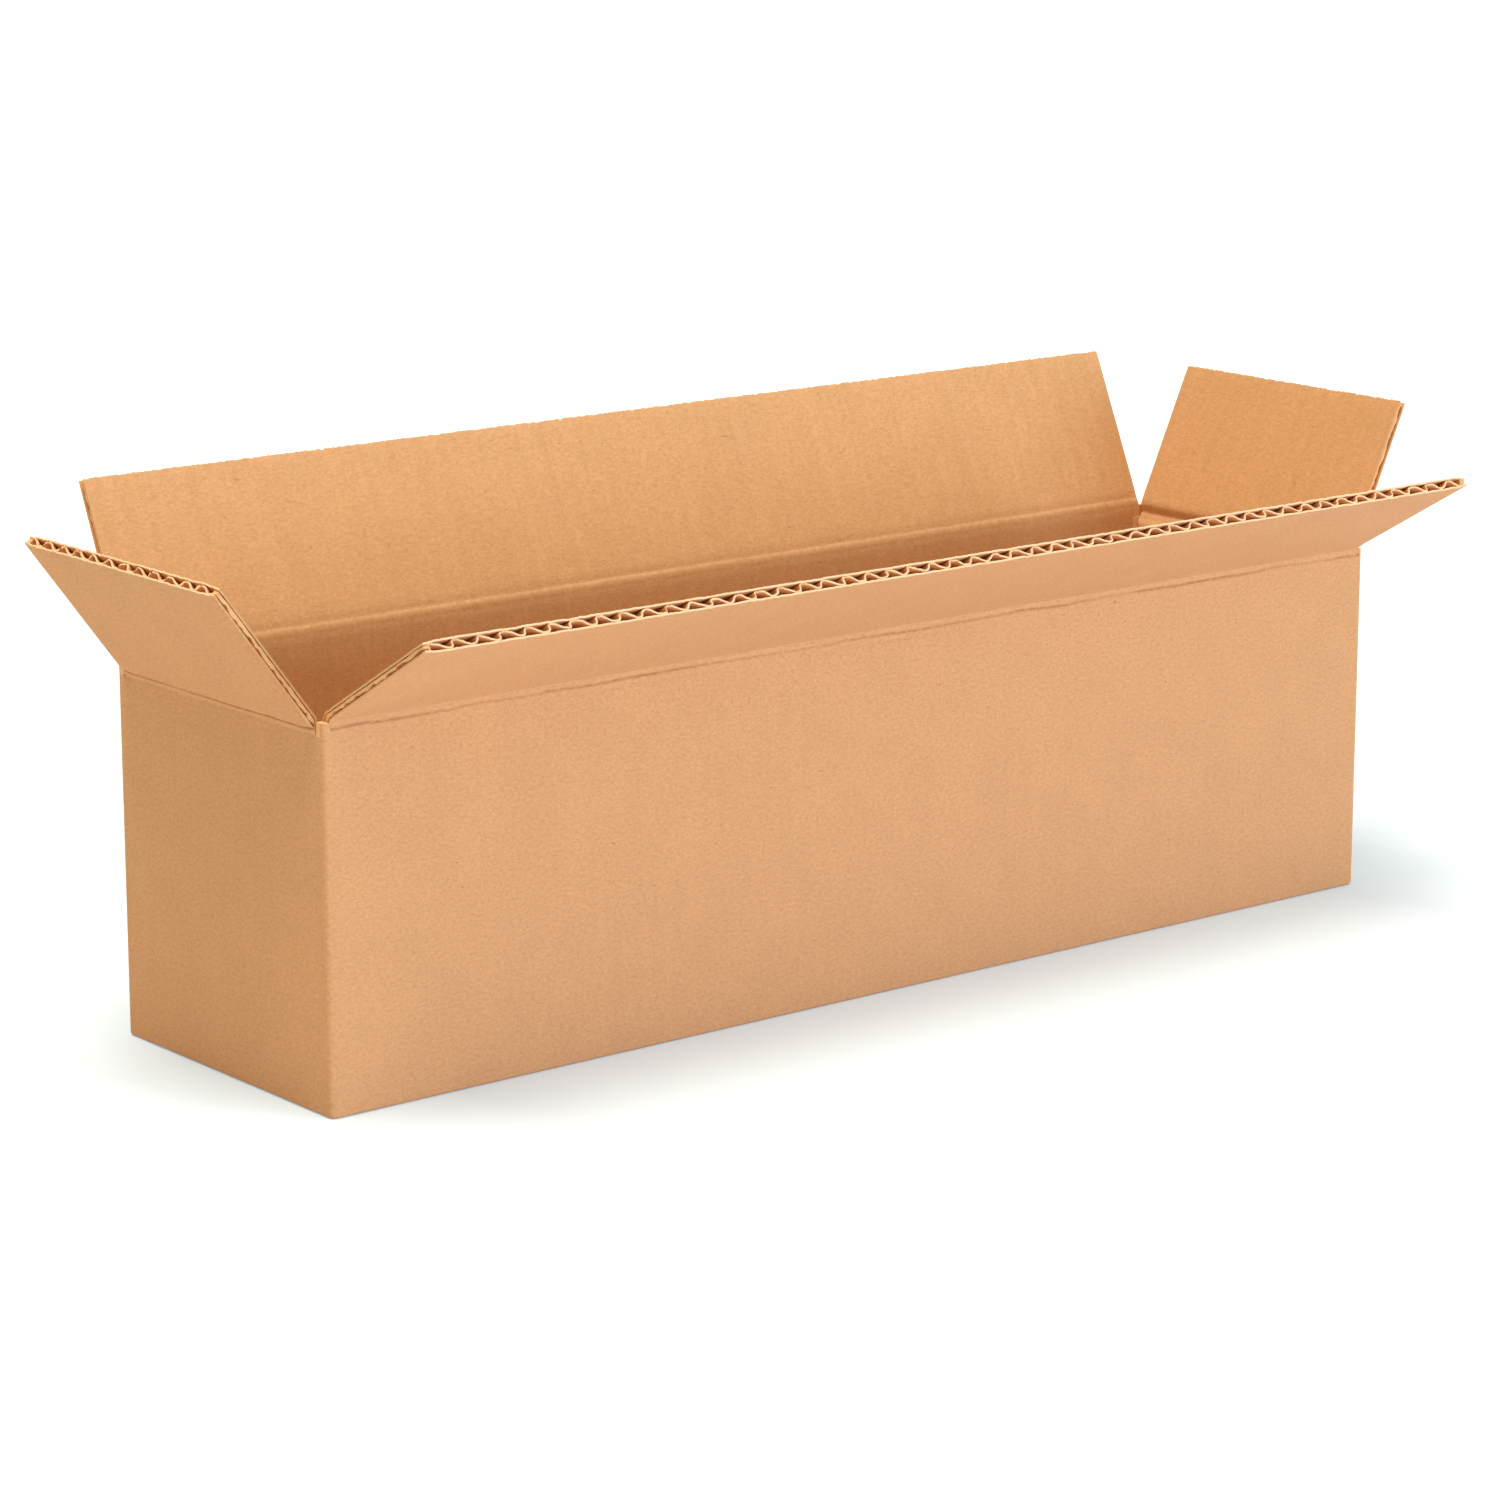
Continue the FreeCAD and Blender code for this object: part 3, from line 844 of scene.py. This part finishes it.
def add_liner(paper, place, across, start, reach, length, girth, board, inner, seed):
    """One flat liner of a flap, thin, with a torn free edge."""
    plain = np.linspace(start, reach - EDGE_ROWS[0], 7)[:-1]
    rows = np.append(plain, reach - np.array(EDGE_ROWS))[:, None]
    across = across[None, :]
    torn = free_edge(across, board, seed)
    near = smooth_step(reach - EDGE_REACH, reach, rows)
    rise = rows - torn * near
    uneven = EDGE_RAGGED * soft_noise(across, rows, 0.003, 0.004, seed + 2) * near
    sunk = pressed_flat(across, length, board) + np.abs(uneven) + EDGE_SINK * near
    outer, lining = sunk + 0 * rise, sunk + board.liner + 0 * rise
    if inner:
        outer, lining = board.thickness - outer, board.thickness - lining
    edge = smooth_step(0.0007, 0.0001, reach - rise) + 0 * across
    cut = np.maximum(0.7 * edge, 0.2 * slit_wear(across, length))
    flat, face = 0 * rise, INNER if inner else OUTER
    paper.add(
        place(across, outer, rise), place(across, lining, rise),
        stack(girth + across, rise, outer), stack(girth + across, rise, lining),
        stack(flat, flat, cut), stack(flat, flat, 0.6 * cut), (face, MEDIUM, TORN, face),
    )


def add_slit_edge(paper, place, side, rise, low, high, length, girth, board, seed):
    """Crushed paper between the liners along a slit edge, from a low to a high depth."""
    rise, low, high = rise[:, None], low[:, None], high[:, None]
    share = np.linspace(-0.08, 1.08, 19)[None, :]
    depth = low + share * (high - low)
    wave, slow = line_noise(rise, 0.0014, seed), line_noise(rise, 0.011, seed + 1)
    first = 0.32 + 0.24 * wave + 0.08 * slow
    second = 0.88 + 0.05 * line_noise(rise, 0.002, seed + 2)
    hollow = np.maximum(
        smooth_step(first + 0.08, first - 0.04, share),
        0.8 * smooth_step(second - 0.03, second + 0.06, share),
    )
    grain = np.abs(soft_noise(rise, depth, 0.0016, 0.0006, seed + 3))
    inset = SLIT_FACE + SLIT_HOLLOW * hollow + SLIT_GRAIN * grain
    across = side * (length / 2 - inset)
    back = side * (length / 2 - board.rim) + 0 * across
    flat = 0 * across
    # painted shade: the hollows take the dark pressed-line colour, the rest is paler as a cut edge
    paper.add(
        place(across, depth, rise), place(back, depth, rise),
        stack(girth + across, rise, depth), stack(girth + back, rise, depth),
        stack(flat, np.clip(1.1 * hollow, 0, 1), 0.45 * (1 - hollow)),
        finishes=(MEDIUM,) * 4,
    )


def flap_paper(place, start, reach, length, girth, board, seed):
    """Both liners and both slit edges of one flap."""
    across = spread_evenly(length, LINER_STEP)
    paper = Paper()
    for inner in (False, True):
        add_liner(
            paper, place, across, start, reach, length, girth, board, inner, seed + 10 * inner
        )
    rise = spread(start, reach - LINER_STEP, SLIT_STEP)
    low = board.pinch + board.liner + 0 * rise
    for side in (-1, 1):
        add_slit_edge(
            paper, place, side, rise, low, board.thickness - low, length, girth, board,
            seed + 20 + side,
        )
    return paper


def placer(matrix):
    """A function that puts points of a flap's own axes in their place."""
    turn, shift = np.array(matrix.to_3x3()), np.array(matrix.translation)

    def place(across, depth, rise):
        return stack(across, depth, rise) @ turn.T + shift

    return place


def bottom_flaps(board):
    """Placement and girth of the two short bottom flaps that lie on the long ones."""
    for side, panel in ((1, END_PANELS[0]), (-1, END_PANELS[1])):
        origin = Vector((-side * HALF_LENGTH, 0, board.thickness))
        matrix = axes(origin, Vector((0, side, 0)), Vector((0, 0, 1)), Vector((side, 0, 0)))
        yield matrix, panel.girth + 3 * HALF_LENGTH


class CARTON_OT_flaps(bpy.types.Operator):
    """Build the liners and slit edges of the top flaps and the short bottom flaps"""

    bl_idname = "carton.flaps"
    bl_label = "Flap liners"

    def execute(self, context):
        board, crease = context.scene.carton_board, context.scene.carton_crease
        for number, (name, panel) in enumerate(PANELS.items()):
            reach = panel.reach(board.thickness)
            paper = flap_paper(
                placer(panel.flap_matrix()), crease.band, reach, panel.length,
                panel.girth, board, board.seed + 100 * number,
            )
            liners = paper.build(f"{name}_liners")
            ride(liners, name)
            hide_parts(name)
        reach = END_PANELS[0].reach(board.thickness)
        for number, (matrix, girth) in enumerate(bottom_flaps(board)):
            paper = flap_paper(
                placer(matrix), board.thickness, reach, END_PANELS[0].length, girth, board,
                board.seed + 500 + number,
            )
            ride(paper.build(f"bottom_end_flap_{number + 1}"), "carton")
        return {"FINISHED"}


FLUTE_INPUTS = (
    "Length", "Depth", "Pitch", "Height", "Thickness", "Segments", "Unevenness", "Skew",
    "Fray", "Girth", "Seed",
)

# Swings per metre along the sheet, each with a start of its own.
STRAY_SWINGS, SQUASH_SWINGS = (210.0, 3.0), (130.0, 17.0)
LEAN_SWINGS, NICK_SWINGS = (110.0, 29.0), (900.0, 41.0)
STRAY_SHARE, LEAN_SPAN, LEAN_MIDDLE = 0.3, 1.4, -1.0

# How much flatter than a sine the crests are, and its flanks steeper.
STEEPNESS = 0.4


def flute_tree(material):
    """Geometry nodes of the fluted sheet: a wave swept through the depth of a flap."""
    tree = bpy.data.node_groups.new("fluted_sheet", "GeometryNodeTree")
    for label in FLUTE_INPUTS:
        tree.interface.new_socket(label, in_out="INPUT", socket_type=FLOAT)
    tree.interface.new_socket("Geometry", in_out="OUTPUT", socket_type="NodeSocketGeometry")
    given = tree.nodes.new("NodeGroupInput").outputs
    place = tree.nodes.new("GeometryNodeInputPosition").outputs[0]
    spot = node(tree, "ShaderNodeSeparateXYZ", {0: place}).outputs

    def times(first, second):
        return multiply(tree, first, second)

    def plus(first, factor, second):
        return calculate(tree, "MULTIPLY_ADD", first, factor, second)

    def offset(**parts):
        """A vector of the parts x, y and z that are given."""
        values = {"xyz".index(axis): value for axis, value in parts.items()}
        return node(tree, "ShaderNodeCombineXYZ", values).outputs[0]

    def wavering(swings):
        """Noise from -1 to 1 along the sheet."""
        per_metre, shift = swings
        turn = calculate(tree, "ADD", plus(spot[0], per_metre, given["Seed"]), shift)
        texture = node(
            tree, "ShaderNodeTexNoise", {"W": turn, "Scale": 1.0, "Detail": 1.0},
            noise_dimensions="1D",
        )
        return plus(texture.outputs[0], 2.0, -1.0)

    half = times(given["Length"], 0.5)
    line = node(tree, "GeometryNodeCurvePrimitiveLine", {
        "Start": offset(x=times(half, -1.0)), "End": offset(x=half),
    })
    flutes = calculate(tree, "DIVIDE", given["Length"], given["Pitch"])
    count = calculate(tree, "CEIL", times(flutes, given["Segments"]))
    fine_line = node(tree, "GeometryNodeResampleCurve", {"Curve": line.outputs[0], "Count": count})

    turns = calculate(tree, "DIVIDE", spot[0], given["Pitch"])
    turns = plus(times(wavering(STRAY_SWINGS), given["Unevenness"]), STRAY_SHARE, turns)
    wave = calculate(tree, "SINE", times(turns, math.tau))
    wave = times(wave, plus(times(wave, wave), -STEEPNESS, 1 + STEEPNESS))
    squash = calculate(tree, "ABSOLUTE", wavering(SQUASH_SWINGS))
    left = calculate(tree, "SUBTRACT", 1.0, times(squash, given["Unevenness"]))
    rise = times(wave, times(times(given["Height"], 0.5), left))
    lean = times(plus(wavering(LEAN_SWINGS), LEAN_SPAN, LEAN_MIDDLE), given["Skew"])
    waved = node(tree, "GeometryNodeSetPosition", {
        "Geometry": fine_line.outputs[0], "Position": offset(x=plus(rise, lean, spot[0]), y=rise),
    })
    normal = node(tree, "GeometryNodeSetCurveNormal", {"Curve": waved.outputs[0]}, mode="Z_UP")
    section = node(
        tree, "GeometryNodeCurvePrimitiveQuadrilateral",
        {"Width": given["Thickness"], "Height": given["Depth"]},
    )
    swept = node(tree, "GeometryNodeCurveToMesh", {
        "Curve": normal.outputs[0], "Profile Curve": section.outputs[0], "Fill Caps": True,
    })
    rough = calculate(tree, "ABSOLUTE", wavering(NICK_SWINGS))
    frayed = node(tree, "GeometryNodeSetPosition", {
        "Geometry": swept.outputs[0],
        "Selection": calculate(tree, "GREATER_THAN", spot[2], 0.0),
        "Offset": offset(z=times(times(rough, given["Fray"]), -1.0)),
    })
    board_place = offset(x=calculate(tree, "ADD", spot[0], given["Girth"]), y=spot[2], z=spot[1])
    stored = node(tree, "GeometryNodeStoreNamedAttribute", {
        "Geometry": frayed.outputs[0], "Name": "board", "Value": board_place,
    }, data_type="FLOAT_VECTOR", domain="POINT")
    real = node(tree, "GeometryNodeRealizeInstances", {"Geometry": stored.outputs[0]})
    finish = node(
        tree, "GeometryNodeSetMaterial", {"Geometry": real.outputs[0], "Material": material}
    )
    tree.links.new(finish.outputs[0], tree.nodes.new("NodeGroupOutput").inputs[0])
    return tree


def bake_flutes(tree, values):
    """The mesh that the tree makes with these values, in the flap's own axes."""
    carrier = bpy.data.objects.new("flute_carrier", bpy.data.meshes.new("flute_carrier"))
    modifier = carrier.modifiers.new("flutes", "NODES")
    modifier.node_group = tree
    for item in tree.interface.items_tree:
        if item.in_out == "INPUT":
            modifier[item.identifier] = values[item.name]
    bpy.context.scene.collection.objects.link(carrier)
    graph = bpy.context.evaluated_depsgraph_get()
    mesh = bpy.data.meshes.new_from_object(
        carrier.evaluated_get(graph), preserve_all_data_layers=True, depsgraph=graph
    )
    carrier.modifiers.remove(modifier)
    bpy.data.objects.remove(carrier)
    if not mesh.polygons:
        raise RuntimeError("the fluted sheet came out empty")
    return mesh


# Clearance of the crests, and how squarely a face looks up where the sheet is cut.
CREST_GAP, TIP_FACING = 0.00012, 0.6


def add_flutes(tree, board, matrix, length, start, reach, girth, seed, name):
    """The fluted sheet of one flap, in its place."""
    depth = reach - FLUTES_SHORT - start
    mesh = bake_flutes(tree, {
        "Length": length - 2 * board.rim, "Depth": depth, "Pitch": board.pitch,
        "Height": board.thickness - 2 * board.liner - board.medium - CREST_GAP,
        "Thickness": board.medium, "Segments": float(board.segments),
        "Unevenness": board.unevenness, "Skew": board.skew, "Fray": board.fray,
        "Girth": girth, "Seed": float(seed),
    })
    mesh.transform(matrix @ Matrix.Translation((0, board.thickness / 2, start + depth / 2)))
    up = (matrix.to_3x3() @ Vector((0, 0, 1))).normalized()
    tips = np.array([face.normal.dot(up) > TIP_FACING for face in mesh.polygons])
    mesh.materials.append(paper_materials()[TORN])
    mesh.polygons.foreach_set("material_index", tips.astype(np.int32))
    mesh.shade_smooth()
    mesh.set_sharp_from_angle(angle=SHARP_FLUTE)
    mesh.name = name
    return link(name, mesh)


class CARTON_OT_flutes(bpy.types.Operator):
    """Build the fluted sheet between the liners of every flap"""

    bl_idname = "carton.flutes"
    bl_label = "Flutes"

    def execute(self, context):
        board, crease = context.scene.carton_board, context.scene.carton_crease
        tree = flute_tree(paper_materials()[MEDIUM])
        for number, (name, panel) in enumerate(PANELS.items()):
            flutes = add_flutes(
                tree, board, panel.flap_matrix(), panel.length, crease.band,
                panel.reach(board.thickness), panel.girth, board.seed + number,
                f"{name}_flutes",
            )
            ride(flutes, name)
        for number, (matrix, girth) in enumerate(bottom_flaps(board)):
            flutes = add_flutes(
                tree, board, matrix, END_PANELS[0].length, board.thickness,
                END_PANELS[0].reach(board.thickness), girth, board.seed + 7 + number,
                f"bottom_flap_flutes_{number + 1}",
            )
            ride(flutes, "carton")
        return {"FINISHED"}


# A crease, along the rise of the board: the finely meshed band, the thinned stretch inside
# and the painted highlight line in it, the faint second line, how far the wrinkles go, the
# liners that are left at least, and how strongly the lines of long and end creases are
# pressed and darkened with painted shade.
FINE_BAND, THINNED_AT, THINNED, RIDGE_HIGHLIGHT_WIDTH = 0.0035, 0.0006, 0.0019, 0.0003
GHOST_DROP, GHOST_SPREAD, GHOST_SHARE, WRINKLED = 0.0024, 1.4, 0.3, 0.0028
LEAST_LINERS = 2.2
LONG_BOLDNESS, END_BOLDNESS = 0.9, 1.35


def crease_fields(panel, across, rise, board, crease, shift, boldness, seed):
    """Depth of both faces of the strip at a crease, and the marks on them."""
    flat = 0 * (across + rise)
    inside_band = 1 - smooth_step(crease.band - 0.002, crease.band, np.abs(rise))
    stray = line_noise(across, 0.014, seed) + 0.4 * line_noise(across, 0.0035, seed + 1)
    line = shift + crease.wander * stray
    strength = boldness * (0.7 + 0.3 * line_noise(across, 0.03, seed + 2))
    groove = strength * bell(rise, line, crease.groove_width)
    second = line - GHOST_DROP + crease.wander * line_noise(across, 0.01, seed + 3)
    ghost = GHOST_SHARE * np.clip(line_noise(across, 0.045, seed + 4), 0, 1)
    ghost = ghost * bell(rise, second, GHOST_SPREAD * crease.groove_width)
    near = bell(rise, 0, WRINKLED)
    wrinkles = crease.wrinkle * near * (
        soft_noise(across, rise, 0.006, 0.0011, seed + 5)
        + 0.5 * soft_noise(across, rise, 0.0022, 0.0008, seed + 6)
    )
    pressed = pressed_flat(across, panel.length, board) * smooth_step(-0.002, 0.003, rise)
    outer = pressed + inside_band * (crease.groove * (groove + ghost) + np.abs(wrinkles))
    crush = crease.crush if panel in LONG_PANELS else crease.end_crush
    crush = crush * bell(rise, THINNED_AT, THINNED)
    dents = 0.5 * crease.wrinkle * near * soft_noise(across, rise, 0.009, 0.0016, seed + 7)
    inner = board.thickness - pressed - inside_band * (crush + np.abs(dents))
    inner = np.maximum(inner, outer + LEAST_LINERS * board.liner)
    slit = slit_wear(across, panel.length) * (rise > 0)
    # painted highlight: a bright line on the inner face along the crease, laid in with the
    # worn-fold colour
    ridge = 1.7 * bell(rise, THINNED_AT, RIDGE_HIGHLIGHT_WIDTH) * (0.75 + 0.25 * stray)
    return (
        outer, inner,
        # the outer face's second mark is painted shade along the pressed line and its faint second
        # line
        stack(0.15 * near + flat, np.clip(0.8 * groove + ghost, 0, 1), 0.4 * slit),
        stack(np.clip(ridge, 0, 1), flat, 0.4 * slit),
    )


def crease_paper(panel, board, crease, shift, boldness, slot_bottom, seed):
    """The bent strip between a wall and its flap: two liners and its slit ends."""
    rows = np.concatenate([
        np.linspace(-crease.band, -FINE_BAND, 5)[:-1],
        np.linspace(-FINE_BAND, FINE_BAND, 43),
        np.linspace(FINE_BAND, crease.band, 5)[1:],
    ])
    across = spread_evenly(panel.length, CREASE_STEP)[None, :]
    rise = rows[:, None] + 0 * across
    outer, inner, marks_out, marks_in = crease_fields(
        panel, across, rise, board, crease, shift, boldness, seed
    )

    def place(along, depth, up):
        return panel.place(along, depth, up, crease.bend)

    paper = Paper()
    level = panel.hinge.z + rise
    girth = panel.girth + across
    for face, lining, marks, finish in (
        (outer, outer + board.liner, marks_out, OUTER),
        (inner, inner - board.liner, marks_in, INNER),
    ):
        paper.add(
            place(across, face, rise), place(across, lining, rise),
            stack(girth, level, face), stack(girth, level, lining),
            marks, finishes=(finish, MEDIUM, TORN, finish),
        )
    exposed = spread(slot_bottom - panel.hinge.z, crease.band, SLOT_STEP)
    for side, column in ((-1, 0), (1, -1)):
        low = np.interp(exposed, rows, outer[:, column]) + board.liner
        high = np.interp(exposed, rows, inner[:, column]) - board.liner
        add_slit_edge(
            paper, place, side, exposed, low, high, panel.length, panel.girth, board,
            seed + 20 + side,
        )
    return paper


class CARTON_OT_creases(bpy.types.Operator):
    """Build the bent strip of board that joins each flap to its wall"""

    bl_idname = "carton.creases"
    bl_label = "Creases"

    def execute(self, context):
        scene = context.scene
        board, crease, wall = scene.carton_board, scene.carton_crease, scene.carton_wall
        slot_bottom = END_PANELS[0].hinge.z - wall.crease_gap
        for number, (name, panel) in enumerate(PANELS.items()):
            long_side = panel in LONG_PANELS
            paper = crease_paper(
                panel, board, crease, -crease.shift if long_side else crease.shift,
                LONG_BOLDNESS if long_side else END_BOLDNESS, slot_bottom,
                board.seed + 40 * number,
            )
            strip = paper.build(f"{name}_crease")
            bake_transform(strip)
        return {"FINISHED"}


# The stage in metres, and the camera's sensor in millimetres.
FLOOR_RADIUS, FLOOR_DROP, FLOOR_CORNERS = 12.0, 0.00005, 96
GLOW_NEAR, GLOW_FAR = 0.3, 1.3
SENSOR_WIDTH, CLIP = 36.0, (0.01, 100.0)
KEY_PLACE, KEY_SIZE = (1.0, -2.3, 0.38), 0.85
TOP_PLACE, TOP_SIZE = (-0.35, -0.1, 2.1), 1.1
LAMP_TARGET = (0, 0, 0.06)


def floor_material(stage):
    """Matt white floor that keeps the shadow and fades into white as seen."""
    material = bpy.data.materials.new("studio_floor")
    material.use_nodes = True
    tree = material.node_tree
    shader = tree.nodes["Principled BSDF"]
    shader.inputs["Base Color"].default_value = tint(stage.ground)
    shader.inputs["Roughness"].default_value = 1.0
    shader.inputs["Specular IOR Level"].default_value = 0.0
    seen = tree.nodes.new("ShaderNodeLightPath").outputs["Is Camera Ray"]
    place = tree.nodes.new("ShaderNodeTexCoord").outputs["Object"]
    away = node(tree, "ShaderNodeVectorMath", {0: place}, operation="LENGTH").outputs["Value"]
    share = ramp(tree, away, GLOW_NEAR, GLOW_FAR)
    glow = blend_colour(tree, share, tint(stage.near_glow), tint(stage.far_glow))
    tree.links.new(glow, shader.inputs["Emission Color"])
    tree.links.new(seen, shader.inputs["Emission Strength"])
    return material


def make_floor(stage):
    """A wide round floor under the carton."""
    turn = np.linspace(0, math.tau, FLOOR_CORNERS + 1)[:-1]
    rim = stack(FLOOR_RADIUS * np.cos(turn), FLOOR_RADIUS * np.sin(turn), 0 * turn - FLOOR_DROP)
    mesh = bpy.data.meshes.new("studio_floor")
    mesh.from_pydata(rim.tolist(), [], [list(range(len(rim)))])
    mesh.materials.append(floor_material(stage))
    floor = link("studio_floor", mesh)
    floor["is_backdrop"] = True


def make_world(stage):
    """Even light all round, and plain white where the camera looks past the floor."""
    world = bpy.data.worlds.new("studio")
    bpy.context.scene.world = world
    world.use_nodes = True
    tree = world.node_tree
    tree.nodes.clear()
    path = tree.nodes.new("ShaderNodeLightPath").outputs
    seen = calculate(tree, "MAXIMUM", path["Is Camera Ray"], path["Is Glossy Ray"])
    seen = calculate(tree, "MAXIMUM", seen, path["Is Transmission Ray"])
    light = node(
        tree, "ShaderNodeBackground",
        {"Color": tint(stage.fill_tint), "Strength": stage.fill},
    )
    white = node(tree, "ShaderNodeBackground", {"Color": (1, 1, 1, 1), "Strength": 1.0})
    mix = node(tree, "ShaderNodeMixShader", {0: seen, 1: light.outputs[0], 2: white.outputs[0]})
    tree.links.new(mix.outputs[0], tree.nodes.new("ShaderNodeOutputWorld").inputs[0])


def make_lamp(name, power, colour, width, place):
    """A square soft lamp that faces the carton."""
    data = bpy.data.lights.new(name, "AREA")
    data.energy, data.color, data.size = power, colour, width
    lamp = bpy.data.objects.new(name, data)
    lamp.location = place
    way = Vector(LAMP_TARGET) - Vector(place)
    lamp.rotation_euler = way.to_track_quat("-Z", "Y").to_euler()
    bpy.context.scene.collection.objects.link(lamp)


def make_camera(stage):
    """The camera at the angle of the photograph."""
    data = bpy.data.cameras.new("camera")
    data.lens, data.sensor_width = stage.lens, SENSOR_WIDTH
    data.clip_start, data.clip_end = CLIP
    camera = bpy.data.objects.new("camera", data)
    bpy.context.scene.collection.objects.link(camera)
    azimuth, elevation = math.radians(stage.azimuth), math.radians(stage.elevation)
    back = Vector((
        math.sin(azimuth) * math.cos(elevation),
        -math.cos(azimuth) * math.cos(elevation),
        math.sin(elevation),
    ))
    camera.location = Vector(stage.target) + back * stage.distance
    camera.rotation_euler = (-back).to_track_quat("-Z", "Y").to_euler()
    bpy.context.scene.camera = camera


class CARTON_OT_stage(bpy.types.Operator):
    """Set the floor, the light and the camera"""

    bl_idname = "carton.stage"
    bl_label = "Stage"

    def execute(self, context):
        stage = context.scene.carton_stage
        make_floor(stage)
        make_world(stage)
        make_lamp("key_lamp", stage.key, stage.key_tint, KEY_SIZE, KEY_PLACE)
        make_lamp("top_lamp", stage.top, stage.top_tint, TOP_SIZE, TOP_PLACE)
        make_camera(stage)
        context.scene.view_settings.view_transform = "Standard"
        return {"FINISHED"}


OPERATORS = (
    CARTON_OT_walls, CARTON_OT_tab, CARTON_OT_flaps, CARTON_OT_flutes,
    CARTON_OT_creases, CARTON_OT_stage,
)


class CARTON_PT_panel(bpy.types.Panel):
    """Buttons and sizes of the carton"""

    bl_idname = "CARTON_PT_panel"
    bl_label = "Open carton"
    bl_space_type = "VIEW_3D"
    bl_region_type = "UI"
    bl_category = "Carton"

    def draw(self, context):
        for operator in OPERATORS:
            self.layout.operator(operator.bl_idname)
        for key, group in GROUPS.items():
            box = self.layout.box()
            box.label(text=group.__doc__)
            for name in group.__annotations__:
                box.prop(getattr(context.scene, key), name)


CLASSES = (*GROUPS.values(), *OPERATORS, CARTON_PT_panel)


def register():
    for item in CLASSES:
        bpy.utils.register_class(item)
    for key, group in GROUPS.items():
        setattr(bpy.types.Scene, key, bpy.props.PointerProperty(type=group))


def unregister():
    for key in GROUPS:
        delattr(bpy.types.Scene, key)
    for item in reversed(CLASSES):
        bpy.utils.unregister_class(item)


def main():
    """Build every piece, then gather the bounds of the parts and of the pieces."""
    register()
    bpy.ops.carton.walls()
    bpy.ops.carton.tab()
    bpy.ops.carton.flaps()
    bpy.ops.carton.flutes()
    bpy.ops.carton.creases()
    bpy.ops.carton.stage()
    boxes = {
        name: [list(corner) for corner in box]
        for name, box in (("cad", CAD_BOX), ("visual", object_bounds()))
    }


if __name__ == "__main__":
    main()
